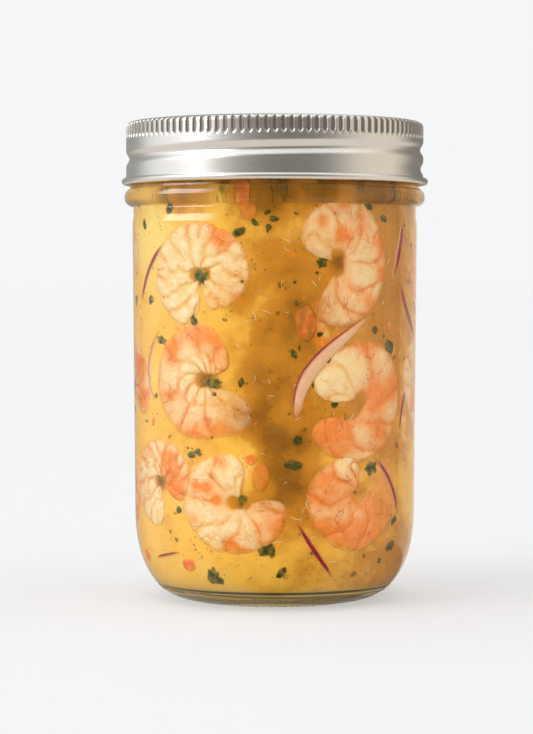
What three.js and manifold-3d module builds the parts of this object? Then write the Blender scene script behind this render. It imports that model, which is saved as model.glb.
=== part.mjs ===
// A shut preserving jar of prawn ceviche: a wide-mouth glass jar, its flat lid, the knurled screw band that
// holds the lid down, and the prawns, onion slivers and tomato that fill the jar, fused on one core.
// Millimetres, +Z up. The origin is the centre of the jar's foot, and -Y faces the viewer. An azimuth is in
// degrees from -Y towards +X, so it grows to the right as seen from the front.
import * as THREE from "three";
import { mergeVertices } from "three/addons/utils/BufferGeometryUtils.js";
import Module from "manifold-3d";

const wasm = await Module();
wasm.setup();

// ---------------------------------------------------------------- driving dimensions
const JAR_HEIGHT = 137.8;
const FOOT_RADIUS = 24.9; // outer edge of the ring that the jar stands on
const FOOT_WIDTH = 2.6;
const PUSH_UP = 1.7; // how far the middle of the base is raised
const HEEL_HEIGHT = 27.4; // where the heel's curve meets the side
const HEEL_POWER = 2.4;
const HEEL_ROUNDING = 0.46;
const SIDE_RADIUS_LOW = 41.3;
const SIDE_RADIUS_HIGH = 41.95;
const SHOULDER_Z = 114.8; // top of the side, under the bead
const BEAD_Z = 117.7;
const BEAD_RADIUS = 44.3;
const BEAD_HALF_HEIGHT = 2.6;
const NECK_RADIUS = 41.2; // the finish under the band, without its thread
const COLLAR_RADIUS = 42.6; // the neck's short visible stretch under the band
const COLLAR_TOP_Z = 122;
const MOUTH_RADIUS = 38.2;
const BORE_RADIUS = 39.1; // inside of the wall
const FLOOR_Z = 5.2; // inside bottom
const WELL_RADIUS = 31; // edge of the inside bottom, where the inside of the heel starts
const RIM_RADIUS = 1.2; // rounding of the mouth's edge

const BAND_TOP_Z = 139.8;
const BAND_SHEET = 0.6;
const BAND_RADIUS = 43.8;
const BAND_OPENING_RADIUS = 38.4;
const BAND_CORNER_RADIUS = 1.5;
const CURL_RADIUS = 1.05;
const CURL_Z = 122.5;
const CURL_CENTRE_RADIUS = 44.15;
const KNURLS = 116;
const KNURL_LOW_Z = 135.3;
const KNURL_HIGH_Z = 138.8;
const KNURL_ROOT_RADIUS = 43.35;
const KNURL_CREST_RADIUS = 43.95;

const THREAD_PITCH = 5.6;
const BAND_THREAD_Z = 130.4; // height of the band's pressed thread at azimuth 0
const BAND_THREAD_DEPTH = 0.95;
const BAND_THREAD_HALF_WIDTH = 2.3;
const BAND_THREAD_FROM = -310; // degrees along the helix
const BAND_THREAD_TO = 190;
const THREAD_FADE = 40; // degrees over which a thread's end fades out
const GLASS_THREAD_RISE = 2.6; // the glass thread lies this much above the band's
const GLASS_THREAD_FROM = -260;
const GLASS_THREAD_TO = 90;
const GLASS_THREAD_HEIGHT = 0.75;
const GLASS_THREAD_HALF_WIDTH = 1.1;

const LID_RADIUS = 42.2;
const LID_TOP_Z = 138.9;
const LID_SHEET = 0.8;
const LID_PANEL_RADIUS = 34.5;
const LID_PANEL_DROP = 1.1;
const LID_BUTTON_RADIUS = 16;
const LID_BUTTON_DROP = 0.7; // the middle is sucked down when the jar is sealed

const CLEARANCE = 0.3;
const CORE_RADIUS = 35.4;
const CORE_TOP_Z = 133.2;
const HEEL_CLEARANCE = 0.9; // further gap over the heel, where the wall's facets cut inwards

const JAR_SIDES = 44;
const BAND_SIDES = 52;
const LID_SIDES = 28;
const CORE_SIDES = 28;

// ---------------------------------------------------------------- materials
const material = (color, roughness, metalness = 0, extra = {}) =>
  new THREE.MeshStandardMaterial({ color, roughness, metalness, ...extra });
const clearGlass = material(0xe9efe9, 0.05, 0, { transparent: true, opacity: 0.35 });
const satinSteel = material(0xc9c7c2, 0.32, 1);
const lidSteel = material(0xd2d0cb, 0.28, 1);
const cevicheFlesh = material(0xf0b35c, 0.5);

// ---------------------------------------------------------------- helpers
const radians = THREE.MathUtils.degToRad;
const point = (r, z) => new THREE.Vector2(r, z);

// Points on an arc of a lathe profile, angles in degrees from the outward direction.
function arc(r, z, radiusR, radiusZ, from, to, steps) {
  return Array.from({ length: steps + 1 }, (_, i) => {
    const angle = radians(from + ((to - from) * i) / steps);
    return point(r + radiusR * Math.cos(angle), z + radiusZ * Math.sin(angle));
  });
}

// Outside and inside of the heel at a share of its height.
const heelCurve = (low, high, share) => low + (high - low) * (1 - (1 - share) ** HEEL_POWER) ** HEEL_ROUNDING;
const heelOutside = (share) => heelCurve(FOOT_RADIUS, SIDE_RADIUS_LOW, share);
const heelInside = (share) => heelCurve(WELL_RADIUS, BORE_RADIUS, share);

// How far from the axis a piece that touches the glass reaches at this height.
function faceAt(z) {
  const share = THREE.MathUtils.clamp((z - FLOOR_Z) / (HEEL_HEIGHT - FLOOR_Z), 0, 1);
  return heelInside(share) - CLEARANCE - HEEL_CLEARANCE * (1 - share);
}

// A profile turned about Z. Azimuth 0 of the turn faces -Y.
const turned = (profile, sides) => new THREE.LatheGeometry(profile, sides).rotateX(Math.PI / 2);

// Where a point at this azimuth, distance from the axis and height is.
const onJar = (azimuth, radius, z) =>
  new THREE.Vector3(radius * Math.sin(radians(azimuth)), -radius * Math.cos(radians(azimuth)), z);

// Moves every vertex to the radius that radiusAt(azimuth, radius, z) gives.
function reshape(geometry, radiusAt) {
  const position = geometry.getAttribute("position");
  for (let i = 0; i < position.count; i++) {
    const x = position.getX(i);
    const y = position.getY(i);
    const radius = Math.hypot(x, y);
    if (radius < 1) continue;
    const scale = radiusAt(THREE.MathUtils.radToDeg(Math.atan2(x, -y)), radius, position.getZ(i)) / radius;
    position.setXY(i, x * scale, y * scale);
  }
  return geometry;
}

// How deep the band's thread is pressed at this azimuth and height: 1 on its middle line, 0 outside it.
function bandThreadAt(azimuth, z) {
  let most = 0;
  for (const turn of [-360, 0, 360]) {
    const along = azimuth + turn;
    const fade = Math.min(
      1,
      (along - BAND_THREAD_FROM) / THREAD_FADE,
      (BAND_THREAD_TO - along) / THREAD_FADE,
    );
    const away = Math.abs(z - BAND_THREAD_Z - (THREAD_PITCH * along) / 360) / BAND_THREAD_HALF_WIDTH;
    if (fade > 0 && away < 1) most = Math.max(most, fade * Math.cos((away * Math.PI) / 2) ** 2);
  }
  return most;
}

function solidOf(geometry) {
  const bare = geometry.index ? geometry.toNonIndexed() : geometry.clone();
  bare.deleteAttribute("normal");
  bare.deleteAttribute("uv");
  const merged = mergeVertices(bare, 1e-3);
  return new wasm.Manifold(
    new wasm.Mesh({
      numProp: 3,
      vertProperties: merged.attributes.position.array,
      triVerts: new Uint32Array(merged.index.array),
    }),
  );
}

function geometryOf(solid) {
  const { numVert, numProp, vertProperties, triVerts } = solid.getMesh();
  const position = new Float32Array(numVert * 3);
  for (let i = 0; i < numVert; i++)
    position.set(vertProperties.subarray(i * numProp, i * numProp + 3), i * 3);
  const geometry = new THREE.BufferGeometry()
    .setAttribute("position", new THREE.BufferAttribute(position, 3))
    .setIndex(new THREE.BufferAttribute(triVerts, 1));
  geometry.computeVertexNormals();
  return geometry;
}

const fused = (geometries) =>
  geometryOf(geometries.map(solidOf).reduce((whole, piece) => whole.add(piece)));

// A closed tube through rings of equally many points, each ring a list of Vector3, with flat ends.
function skin(rings) {
  const sides = rings[0].length;
  const vertices = rings.flat().flatMap((p) => [p.x, p.y, p.z]);
  const faces = [];
  for (let i = 0; i < rings.length - 1; i++)
    for (let j = 0; j < sides; j++) {
      const here = i * sides + j;
      const beside = i * sides + ((j + 1) % sides);
      faces.push(here, beside + sides, beside, here, here + sides, beside + sides);
    }
  const last = (rings.length - 1) * sides;
  for (let j = 1; j < sides - 1; j++) faces.push(0, j, j + 1, last, last + j + 1, last + j);
  return new THREE.BufferGeometry()
    .setAttribute("position", new THREE.Float32BufferAttribute(vertices, 3))
    .setIndex(faces);
}

// The same small random numbers at each run.
function seeded(seed) {
  let state = seed;
  return (low, high) => {
    state = (state * 1664525 + 1013904223) % 4294967296;
    return low + ((high - low) * state) / 4294967296;
  };
}

// ---------------------------------------------------------------- jar
function jarProfile() {
  const heel = [0, 0.012, 0.05, 0.12, 0.22, 0.35, 0.52, 0.74, 1].map((share) =>
    point(heelOutside(share), HEEL_HEIGHT * share),
  );
  const foot = [
    point(0, PUSH_UP),
    point(FOOT_RADIUS - FOOT_WIDTH - 4, PUSH_UP),
    point(FOOT_RADIUS - FOOT_WIDTH, 0),
  ];
  const bead = [
    ...arc(SIDE_RADIUS_HIGH, BEAD_Z, BEAD_RADIUS - SIDE_RADIUS_HIGH, BEAD_HALF_HEIGHT, -85, -25, 2),
    ...arc(COLLAR_RADIUS, BEAD_Z, BEAD_RADIUS - COLLAR_RADIUS, BEAD_HALF_HEIGHT, 0, 85, 3),
  ];
  const rim = arc(NECK_RADIUS - RIM_RADIUS, JAR_HEIGHT - RIM_RADIUS, RIM_RADIUS, RIM_RADIUS, 0, 90, 2);
  const lip = arc(MOUTH_RADIUS + 0.7, JAR_HEIGHT - 0.7, 0.7, 0.7, 90, 180, 2);
  const well = [1, 0.64, 0.38, 0.2, 0.08, 0.015, 0].map((share) =>
    point(heelInside(share), FLOOR_Z + (HEEL_HEIGHT - FLOOR_Z) * share),
  );
  return [
    ...foot,
    ...heel,
    point(SIDE_RADIUS_HIGH, SHOULDER_Z),
    ...bead,
    point(COLLAR_RADIUS, COLLAR_TOP_Z),
    point(NECK_RADIUS, COLLAR_TOP_Z + 1.4),
    ...rim,
    ...lip,
    point(MOUTH_RADIUS, BEAD_Z + 6),
    point(BORE_RADIUS, SHOULDER_Z - 1),
    ...well,
    point(0, FLOOR_Z - 0.2),
  ];
}

// The ridge that the band's thread grips: a half round run along a helix, sunk into the neck at both ends.
function glassThread() {
  const steps = 28;
  const sunk = GLASS_THREAD_HEIGHT + 0.25;
  const rings = Array.from({ length: steps + 1 }, (_, i) => {
    const along = THREE.MathUtils.lerp(GLASS_THREAD_FROM, GLASS_THREAD_TO, i / steps);
    const fade = Math.min(
      1,
      (along - GLASS_THREAD_FROM) / THREAD_FADE,
      (GLASS_THREAD_TO - along) / THREAD_FADE,
    );
    const middle = BAND_THREAD_Z + GLASS_THREAD_RISE + (THREAD_PITCH * along) / 360;
    const crest = NECK_RADIUS + GLASS_THREAD_HEIGHT - sunk * (1 - fade);
    return [
      onJar(along, NECK_RADIUS - 1.4, middle + GLASS_THREAD_HALF_WIDTH),
      onJar(along, NECK_RADIUS - 1.4, middle - GLASS_THREAD_HALF_WIDTH),
      onJar(along, crest - 0.55, middle - GLASS_THREAD_HALF_WIDTH * 0.8),
      onJar(along, crest, middle),
      onJar(along, crest - 0.55, middle + GLASS_THREAD_HALF_WIDTH * 0.8),
    ];
  });
  return skin(rings);
}

const jarGeometry = () => fused([turned(jarProfile(), JAR_SIDES), glassThread()]);

// ---------------------------------------------------------------- screw band
function bandProfile() {
  const inside = BAND_RADIUS - BAND_SHEET;
  const under = BAND_TOP_Z - BAND_SHEET;
  const knurlWall = KNURL_ROOT_RADIUS - 0.05;
  const curl = arc(CURL_CENTRE_RADIUS, CURL_Z, CURL_RADIUS, CURL_RADIUS, -150, 120, 5);
  const wallRows = [124.6, 126.2, 127.6, 129, 130.4, 131.8, 133.2, 134.5].map((z) => point(BAND_RADIUS, z));
  const corner = arc(
    knurlWall - BAND_CORNER_RADIUS,
    BAND_TOP_Z - BAND_CORNER_RADIUS,
    BAND_CORNER_RADIUS,
    BAND_CORNER_RADIUS,
    15,
    90,
    3,
  );
  const insideRows = [134.5, 132.5, 131, 129.2, 127.4, 125.4].map((z) => point(inside, z));
  return [
    ...curl,
    ...wallRows,
    point(knurlWall, KNURL_LOW_Z),
    ...corner,
    point(BAND_OPENING_RADIUS, BAND_TOP_Z),
    point(BAND_OPENING_RADIUS, under),
    point(knurlWall - BAND_CORNER_RADIUS, under),
    point(knurlWall - BAND_SHEET, under - 0.8),
    point(knurlWall - BAND_SHEET, KNURL_LOW_Z),
    ...insideRows,
    point(inside, CURL_Z - 0.2),
    curl[0].clone(),
  ];
}

// The ring of upright ridges round the band's top edge.
function knurlRing() {
  const outline = new THREE.Shape(
    Array.from({ length: 2 * KNURLS }, (_, i) => {
      const radius = i % 2 ? KNURL_CREST_RADIUS : KNURL_ROOT_RADIUS;
      const angle = (Math.PI * i) / KNURLS;
      return point(radius * Math.cos(angle), radius * Math.sin(angle));
    }),
  );
  outline.holes.push(new THREE.Path().absarc(0, 0, KNURL_ROOT_RADIUS - 0.35, 0, 2 * Math.PI, true));
  const ring = new THREE.ExtrudeGeometry(outline, {
    depth: KNURL_HIGH_Z - KNURL_LOW_Z,
    bevelEnabled: false,
    curveSegments: BAND_SIDES,
  });
  return ring.translate(0, 0, KNURL_LOW_Z);
}

function bandGeometry() {
  const pressed = reshape(turned(bandProfile(), BAND_SIDES), (azimuth, radius, z) => {
    const onWall = z > CURL_Z + 1.5 && z < KNURL_LOW_Z;
    return onWall ? radius - BAND_THREAD_DEPTH * bandThreadAt(azimuth, z) : radius;
  });
  return fused([pressed, knurlRing()]);
}

// ---------------------------------------------------------------- flat lid
function lidGeometry() {
  const low = LID_TOP_Z - LID_PANEL_DROP;
  const button = low - LID_BUTTON_DROP;
  const top = [
    point(LID_RADIUS, LID_TOP_Z - LID_SHEET),
    point(LID_RADIUS, LID_TOP_Z - 0.3),
    point(LID_RADIUS - 0.5, LID_TOP_Z),
    point(LID_PANEL_RADIUS + 1.2, LID_TOP_Z),
    point(LID_PANEL_RADIUS, low),
    point(LID_BUTTON_RADIUS, low),
    point(LID_BUTTON_RADIUS - 4, button),
    point(0, button),
  ];
  const bottom = [
    point(0, button - LID_SHEET),
    point(LID_BUTTON_RADIUS - 4.3, button - LID_SHEET),
    point(LID_BUTTON_RADIUS - 0.3, low - LID_SHEET),
    point(LID_PANEL_RADIUS - 0.8, low - LID_SHEET),
    point(LID_PANEL_RADIUS + 0.4, LID_TOP_Z - LID_SHEET),
  ];
  return turned([...bottom, ...top], LID_SIDES);
}

// ---------------------------------------------------------------- ceviche
// A curled, peeled prawn laid flat against the wall, round a small hole at its azimuth and z. It winds from its
// blunt cut end, at `turn`, to its tail over `sweep` degrees. Its size is the curl's outer diameter, and `uncurl`
// how far its tail stands out, against its size.
const PRAWN_RINGS = 11; // alternately swollen and waisted, for the body's segments
const PRAWN_SIDES = 7;
const PRAWN_GIRTH = 0.215; // its body's greatest half width against its size
const PRAWN_HOLE = 0.07; // the radius of the hole in its curl against its size
const PRAWN_FLATNESS = 0.6; // thickness across the curl against width in it
const PRAWN_PRESS = 0.15; // how far the glass flattens it, against its girth

// Half the body's width at a share of its length, against its widest.
function prawnGirth(share) {
  const bluntEnd = Math.min(1, 0.7 + share * 4);
  const taper = 1 - 0.3 * share ** 2.6;
  return bluntEnd * taper;
}

function prawnGeometry({ azimuth, z, size, turn, flip, sweep, uncurl = 0 }) {
  const girth = size * PRAWN_GIRTH;
  const rings = Array.from({ length: PRAWN_RINGS }, (_, i) => {
    const share = i / (PRAWN_RINGS - 1);
    const width = girth * prawnGirth(share) * (i % 2 ? 1.04 : 0.95);
    const heading = radians(turn + flip * sweep * share);
    const centre = size * (PRAWN_HOLE + uncurl * share ** 3) + girth * prawnGirth(share);
    const ring = Array.from({ length: PRAWN_SIDES }, (_, j) => {
      const angle = (2 * Math.PI * j) / PRAWN_SIDES;
      const reach = centre + width * Math.cos(angle);
      const depth = girth * PRAWN_FLATNESS - width * PRAWN_FLATNESS * Math.sin(angle);
      const height = z + reach * Math.sin(heading);
      const radius = faceAt(height) - Math.max(0, depth - girth * PRAWN_PRESS);
      const aside = THREE.MathUtils.radToDeg((reach * Math.cos(heading)) / BORE_RADIUS);
      return onJar(azimuth + aside, radius, height);
    });
    return flip > 0 ? ring : ring.reverse();
  });
  return skin(rings);
}

const ONION_DEPTH = 5.5;

// A sliver of onion standing on its edge in the core, bowed sideways between two places on the wall.
function onionGeometry({ from, to, bow }) {
  const steps = 4;
  const thickness = 1.5;
  const rings = Array.from({ length: steps + 1 }, (_, i) => {
    const share = i / steps;
    const swell = Math.sin(Math.PI * share);
    const azimuth = THREE.MathUtils.lerp(from[0], to[0], share) + bow * swell;
    const z = THREE.MathUtils.lerp(from[1], to[1], share);
    const half = THREE.MathUtils.radToDeg((thickness * (0.35 + 0.65 * swell)) / 2 / BORE_RADIUS);
    const face = faceAt(z) - 0.3;
    return [
      onJar(azimuth - half, face - ONION_DEPTH, z),
      onJar(azimuth - half, face, z),
      onJar(azimuth + half, face, z),
      onJar(azimuth + half, face - ONION_DEPTH, z),
    ];
  });
  return skin(from[1] > to[1] ? rings : rings.reverse());
}

// The prawns in front, row by row from the top.
const PRAWNS = [
  { azimuth: -29.2, z: 94.5, size: 31.5, turn: 268, flip: -1, sweep: 335 },
  { azimuth: 22, z: 98.7, size: 34.5, turn: 172, flip: -1, sweep: 318 },
  { azimuth: -25.4, z: 65, size: 35, turn: 330, flip: -1, sweep: 300 },
  { azimuth: 32.2, z: 59.6, size: 35, turn: 168, flip: -1, sweep: 312, uncurl: 0.06 },
  { azimuth: -12.8, z: 31.1, size: 33, turn: 75, flip: 1, sweep: 280 },
  { azimuth: 36.4, z: 34.1, size: 33.5, turn: 98, flip: 1, sweep: 300 },
  { azimuth: -54, z: 36, size: 28.5, turn: 285, flip: -1, sweep: 290 },
];

// The rows of prawns round the rest of the jar: each row's height and the azimuths it runs between.
const REAR_ROWS = [
  { z: 98, from: 97, to: 263 },
  { z: 63, from: 87, to: 275 },
  { z: 32, from: 95, to: 262 },
];
const REAR_PER_ROW = 4;

function rearPrawns() {
  const random = seeded(41);
  return REAR_ROWS.flatMap(({ z, from, to }) =>
    Array.from({ length: REAR_PER_ROW }, (_, i) => ({
      azimuth: THREE.MathUtils.lerp(from, to, i / (REAR_PER_ROW - 1)),
      z: z + random(-3, 3),
      size: random(28.5, 32),
      turn: random(0, 360),
      flip: random(0, 1) > 0.5 ? 1 : -1,
      sweep: random(255, 300),
    })),
  );
}

// Onion slivers, each from one [azimuth, z] to another.
const ONIONS = [
  { from: [-47.4, 104.4], to: [-69.5, 87.5], bow: -2.5 },
  { from: [-51, 79.4], to: [-56.4, 59.2], bow: -6 },
  { from: [63.5, 110.4], to: [53.8, 95.1], bow: 0.5 },
  { from: [61.4, 93], to: [82, 76], bow: -3 },
  { from: [37.4, 83], to: [7.8, 55], bow: -9 },
  { from: [41.4, 43.3], to: [59, 26.5], bow: 2.5 },
  { from: [8.2, 25.6], to: [23.6, 10], bow: -1 },
  { from: [118, 86], to: [126, 108], bow: 7 },
  { from: [182, 48], to: [160, 66], bow: -6 },
  { from: [238, 80], to: [216, 60], bow: 5 },
];

// Pieces of tomato, each an egg shape pressed to the glass.
const TOMATO = [
  { azimuth: -9.5, z: 114.5, wide: 4.6, tall: 9 },
  { azimuth: 11.5, z: 80.5, wide: 6.5, tall: 7 },
  { azimuth: -9.5, z: 45.5, wide: 4.4, tall: 5.4 },
  { azimuth: -36.6, z: 12.9, wide: 5, tall: 3.8 },
  { azimuth: 124, z: 80, wide: 5.4, tall: 4.6 },
  { azimuth: 182, z: 79, wide: 4.8, tall: 6 },
  { azimuth: 236, z: 46, wide: 5.6, tall: 4.6 },
  { azimuth: 290, z: 14, wide: 4.4, tall: 3.8 },
];
const TOMATO_DEPTH = 5;

function tomatoGeometry({ azimuth, z, wide, tall }) {
  const middle = faceAt(z - tall / 2) - 0.3 - TOMATO_DEPTH / 2;
  return new THREE.SphereGeometry(0.5, 7, 5)
    .scale(wide, TOMATO_DEPTH, tall)
    .translate(0, -middle, z)
    .rotateZ(radians(azimuth));
}

function cevicheGeometry() {
  const core = [
    point(0, FLOOR_Z + CLEARANCE),
    point(WELL_RADIUS - 1.5, FLOOR_Z + CLEARANCE),
    point(WELL_RADIUS + 1.4, FLOOR_Z + 1.8),
    point(CORE_RADIUS - 0.9, FLOOR_Z + 4.6),
    point(CORE_RADIUS, FLOOR_Z + 8.5),
    point(CORE_RADIUS, CORE_TOP_Z - 4),
    point(CORE_RADIUS - 2.2, CORE_TOP_Z - 0.8),
    point(0, CORE_TOP_Z),
  ];
  return fused([
    turned(core, CORE_SIDES),
    ...[...PRAWNS, ...rearPrawns()].map(prawnGeometry),
    ...ONIONS.map(onionGeometry),
    ...TOMATO.map(tomatoGeometry),
  ]);
}

// ---------------------------------------------------------------- the part
function mesh(name, geometry, finish) {
  const made = new THREE.Mesh(geometry, finish);
  made.name = name;
  return made;
}

const jarOfCeviche = new THREE.Group();
jarOfCeviche.add(
  mesh("jar", jarGeometry(), clearGlass),
  mesh("screw_band", bandGeometry(), satinSteel),
  mesh("flat_lid", lidGeometry(), lidSteel),
  mesh("ceviche", cevicheGeometry(), cevicheFlesh),
);

export default jarOfCeviche;
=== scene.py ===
"""A shut preserving jar of prawn ceviche: the glass, its lid and band, the sauce and all that lies in it.

Sizes are in millimetres while a shape is made, and each finished piece is in metres. The origin is the centre
of the jar's foot, +Z is up and -Y faces the viewer. An azimuth is in degrees from -Y towards +X, so it grows
to the right as seen from the front.
"""

import math
import random

import bmesh
import bpy
import numpy as np
from bpy.props import FloatProperty, FloatVectorProperty, IntProperty, PointerProperty
from bpy.types import Operator, Panel, PropertyGroup
from mathutils import Matrix


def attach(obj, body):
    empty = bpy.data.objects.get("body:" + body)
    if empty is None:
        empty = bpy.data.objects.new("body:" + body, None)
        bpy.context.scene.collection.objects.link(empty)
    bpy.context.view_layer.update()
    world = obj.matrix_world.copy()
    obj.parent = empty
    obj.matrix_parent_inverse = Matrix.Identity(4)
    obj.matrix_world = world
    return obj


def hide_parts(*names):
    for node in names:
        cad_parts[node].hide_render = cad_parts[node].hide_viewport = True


bl_info = {
    "name": "Jar of Ceviche",
    "version": (1, 0, 0),
    "blender": (4, 5, 0),
    "location": "View3D > Sidebar > Ceviche",
    "description": "Makes a shut glass jar of prawn ceviche, its screw band and a small studio for it",
    "category": "Object",
}

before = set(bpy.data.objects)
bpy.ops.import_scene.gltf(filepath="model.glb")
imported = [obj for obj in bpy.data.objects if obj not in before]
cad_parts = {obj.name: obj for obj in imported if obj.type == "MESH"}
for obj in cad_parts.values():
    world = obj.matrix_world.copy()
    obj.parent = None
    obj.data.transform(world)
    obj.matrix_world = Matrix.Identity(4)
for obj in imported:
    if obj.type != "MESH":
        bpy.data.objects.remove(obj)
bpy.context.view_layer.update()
MM = 0.001

# ---------------------------------------------------------------- the jar's own sizes, in millimetres
JAR_HEIGHT = 137.8
FOOT_RADIUS = 24.9
FOOT_WIDTH = 2.6
PUSH_UP = 1.7
HEEL_HEIGHT = 27.4
HEEL_POWER = 2.4
HEEL_ROUNDING = 0.46
SIDE_RADIUS_LOW = 41.3
SIDE_RADIUS_HIGH = 41.95
SHOULDER_Z = 114.8
BEAD_Z = 117.7
BEAD_RADIUS = 44.3
BEAD_HALF_HEIGHT = 2.6
NECK_RADIUS = 41.2
COLLAR_RADIUS = 42.6
COLLAR_TOP_Z = 122
MOUTH_RADIUS = 38.2
BORE_RADIUS = 39.1
FLOOR_Z = 5.2
WELL_RADIUS = 31
RIM_RADIUS = 1.2
ROW_CROWDING = 1.8  # how much closer the rows of the mesh lie near the foot
STIPPLES = 80  # small dents round the foot
STIPPLE_DEPTH = 0.5
HEEL_RING_PITCH = 0.95  # faint rings in the glass round the heel
HEEL_RING_DEPTH = 0.22
SHOULDER_DIPS = ((115.0, 0.9, 0.3), (112.6, 1.5, 0.36))  # hollows under the bead: z, half height, depth

BAND_TOP_Z = 139.8
BAND_SHEET = 0.6
BAND_RADIUS = 43.8
BAND_OPENING_RADIUS = 38.4
BAND_CORNER_RADIUS = 1.5
CURL_RADIUS = 1.0
CURL_Z = 122.5
CURL_CENTRE_RADIUS = 44.15
KNURLS = 116
KNURL_LOW_Z = 135.3
KNURL_HIGH_Z = 139.5
KNURL_HALF_WIDTH = 0.7
KNURL_COLUMNS = 10  # columns of the mesh for each knurl
KNURL_SLOPE = 0.32  # how wide the sides of the slots between the knurls are
KNURL_LOW_END = 0.45  # the low end of a slot is drawn out by this divisor

THREAD_PITCH = 5.6
BAND_THREAD_Z = 130.4
BAND_THREAD_DEPTH = 0.95
BAND_THREAD_HALF_WIDTH = 2.3
BAND_THREAD_FROM = -310
BAND_THREAD_TO = 190
THREAD_FADE = 40
GLASS_THREAD_RISE = 2.6
GLASS_THREAD_FROM = -260
GLASS_THREAD_TO = 90
GLASS_THREAD_HEIGHT = 0.75
GLASS_THREAD_HALF_WIDTH = 1.1

LID_RADIUS = 42.2
LID_TOP_Z = 138.9
LID_SHEET = 0.8
LID_PANEL_RADIUS = 34.5
LID_PANEL_DROP = 1.1
LID_BUTTON_RADIUS = 16
LID_BUTTON_DROP = 0.7
LID_COLUMNS = 184
SHARP_ANGLE = 50  # an edge with a wider angle than this stays sharp, in degrees

# ---------------------------------------------------------------- the contents' own sizes, in millimetres
SAUCE_OVERLAP = 0.15  # how far the sauce reaches into the wall, so that no air shows
SAUCE_TOP_Z = 133.2
SAUCE_COLUMNS = 288
PROUD = 0.7  # how far a piece pressed to the glass stands out of the sauce
PRAWN_GIRTH = 0.222  # its body's greatest half width against its size
PRAWN_HOLE = 0.035  # the radius of the hole in its curl against its size
PRAWN_FLATNESS = 0.6
FUNNEL = 0.035  # how far its flesh slopes into the hole, against its size
HOLLOW_SHADE_WIDTH = 1.6  # how far the painted shade in a prawn's hole spreads
PRAWN_GRID = (150, 56)  # faces along the body and round it, as in the other grids
ONION_DEPTH = 5.5
ONION_PROUD = 0.8
ONION_GRID = (48, 20)
TOMATO_DEPTH = 5
TOMATO_GRID = (32, 24)
LEAF_GRID = (36, 10)
SMALL_LEAF_GRID = (18, 6)
FIBRE_GRID = (7, 5)
LEAF_GROWTH = 1.25  # the larger leaves are made this much larger than listed
CLUSTER_Z = 116  # the leaves above this height lie together, half sunk in the sauce
FRONT_AZIMUTH = 75  # the small leaves are smaller than elsewhere within this of the front

TWO_ROWS_FROM = 0.5  # a prawn that is more lobed than this shows two rows of lobes
KNOBS_FROM = 0.9  # a prawn that is more lobed than this shows rows of knobs

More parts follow.
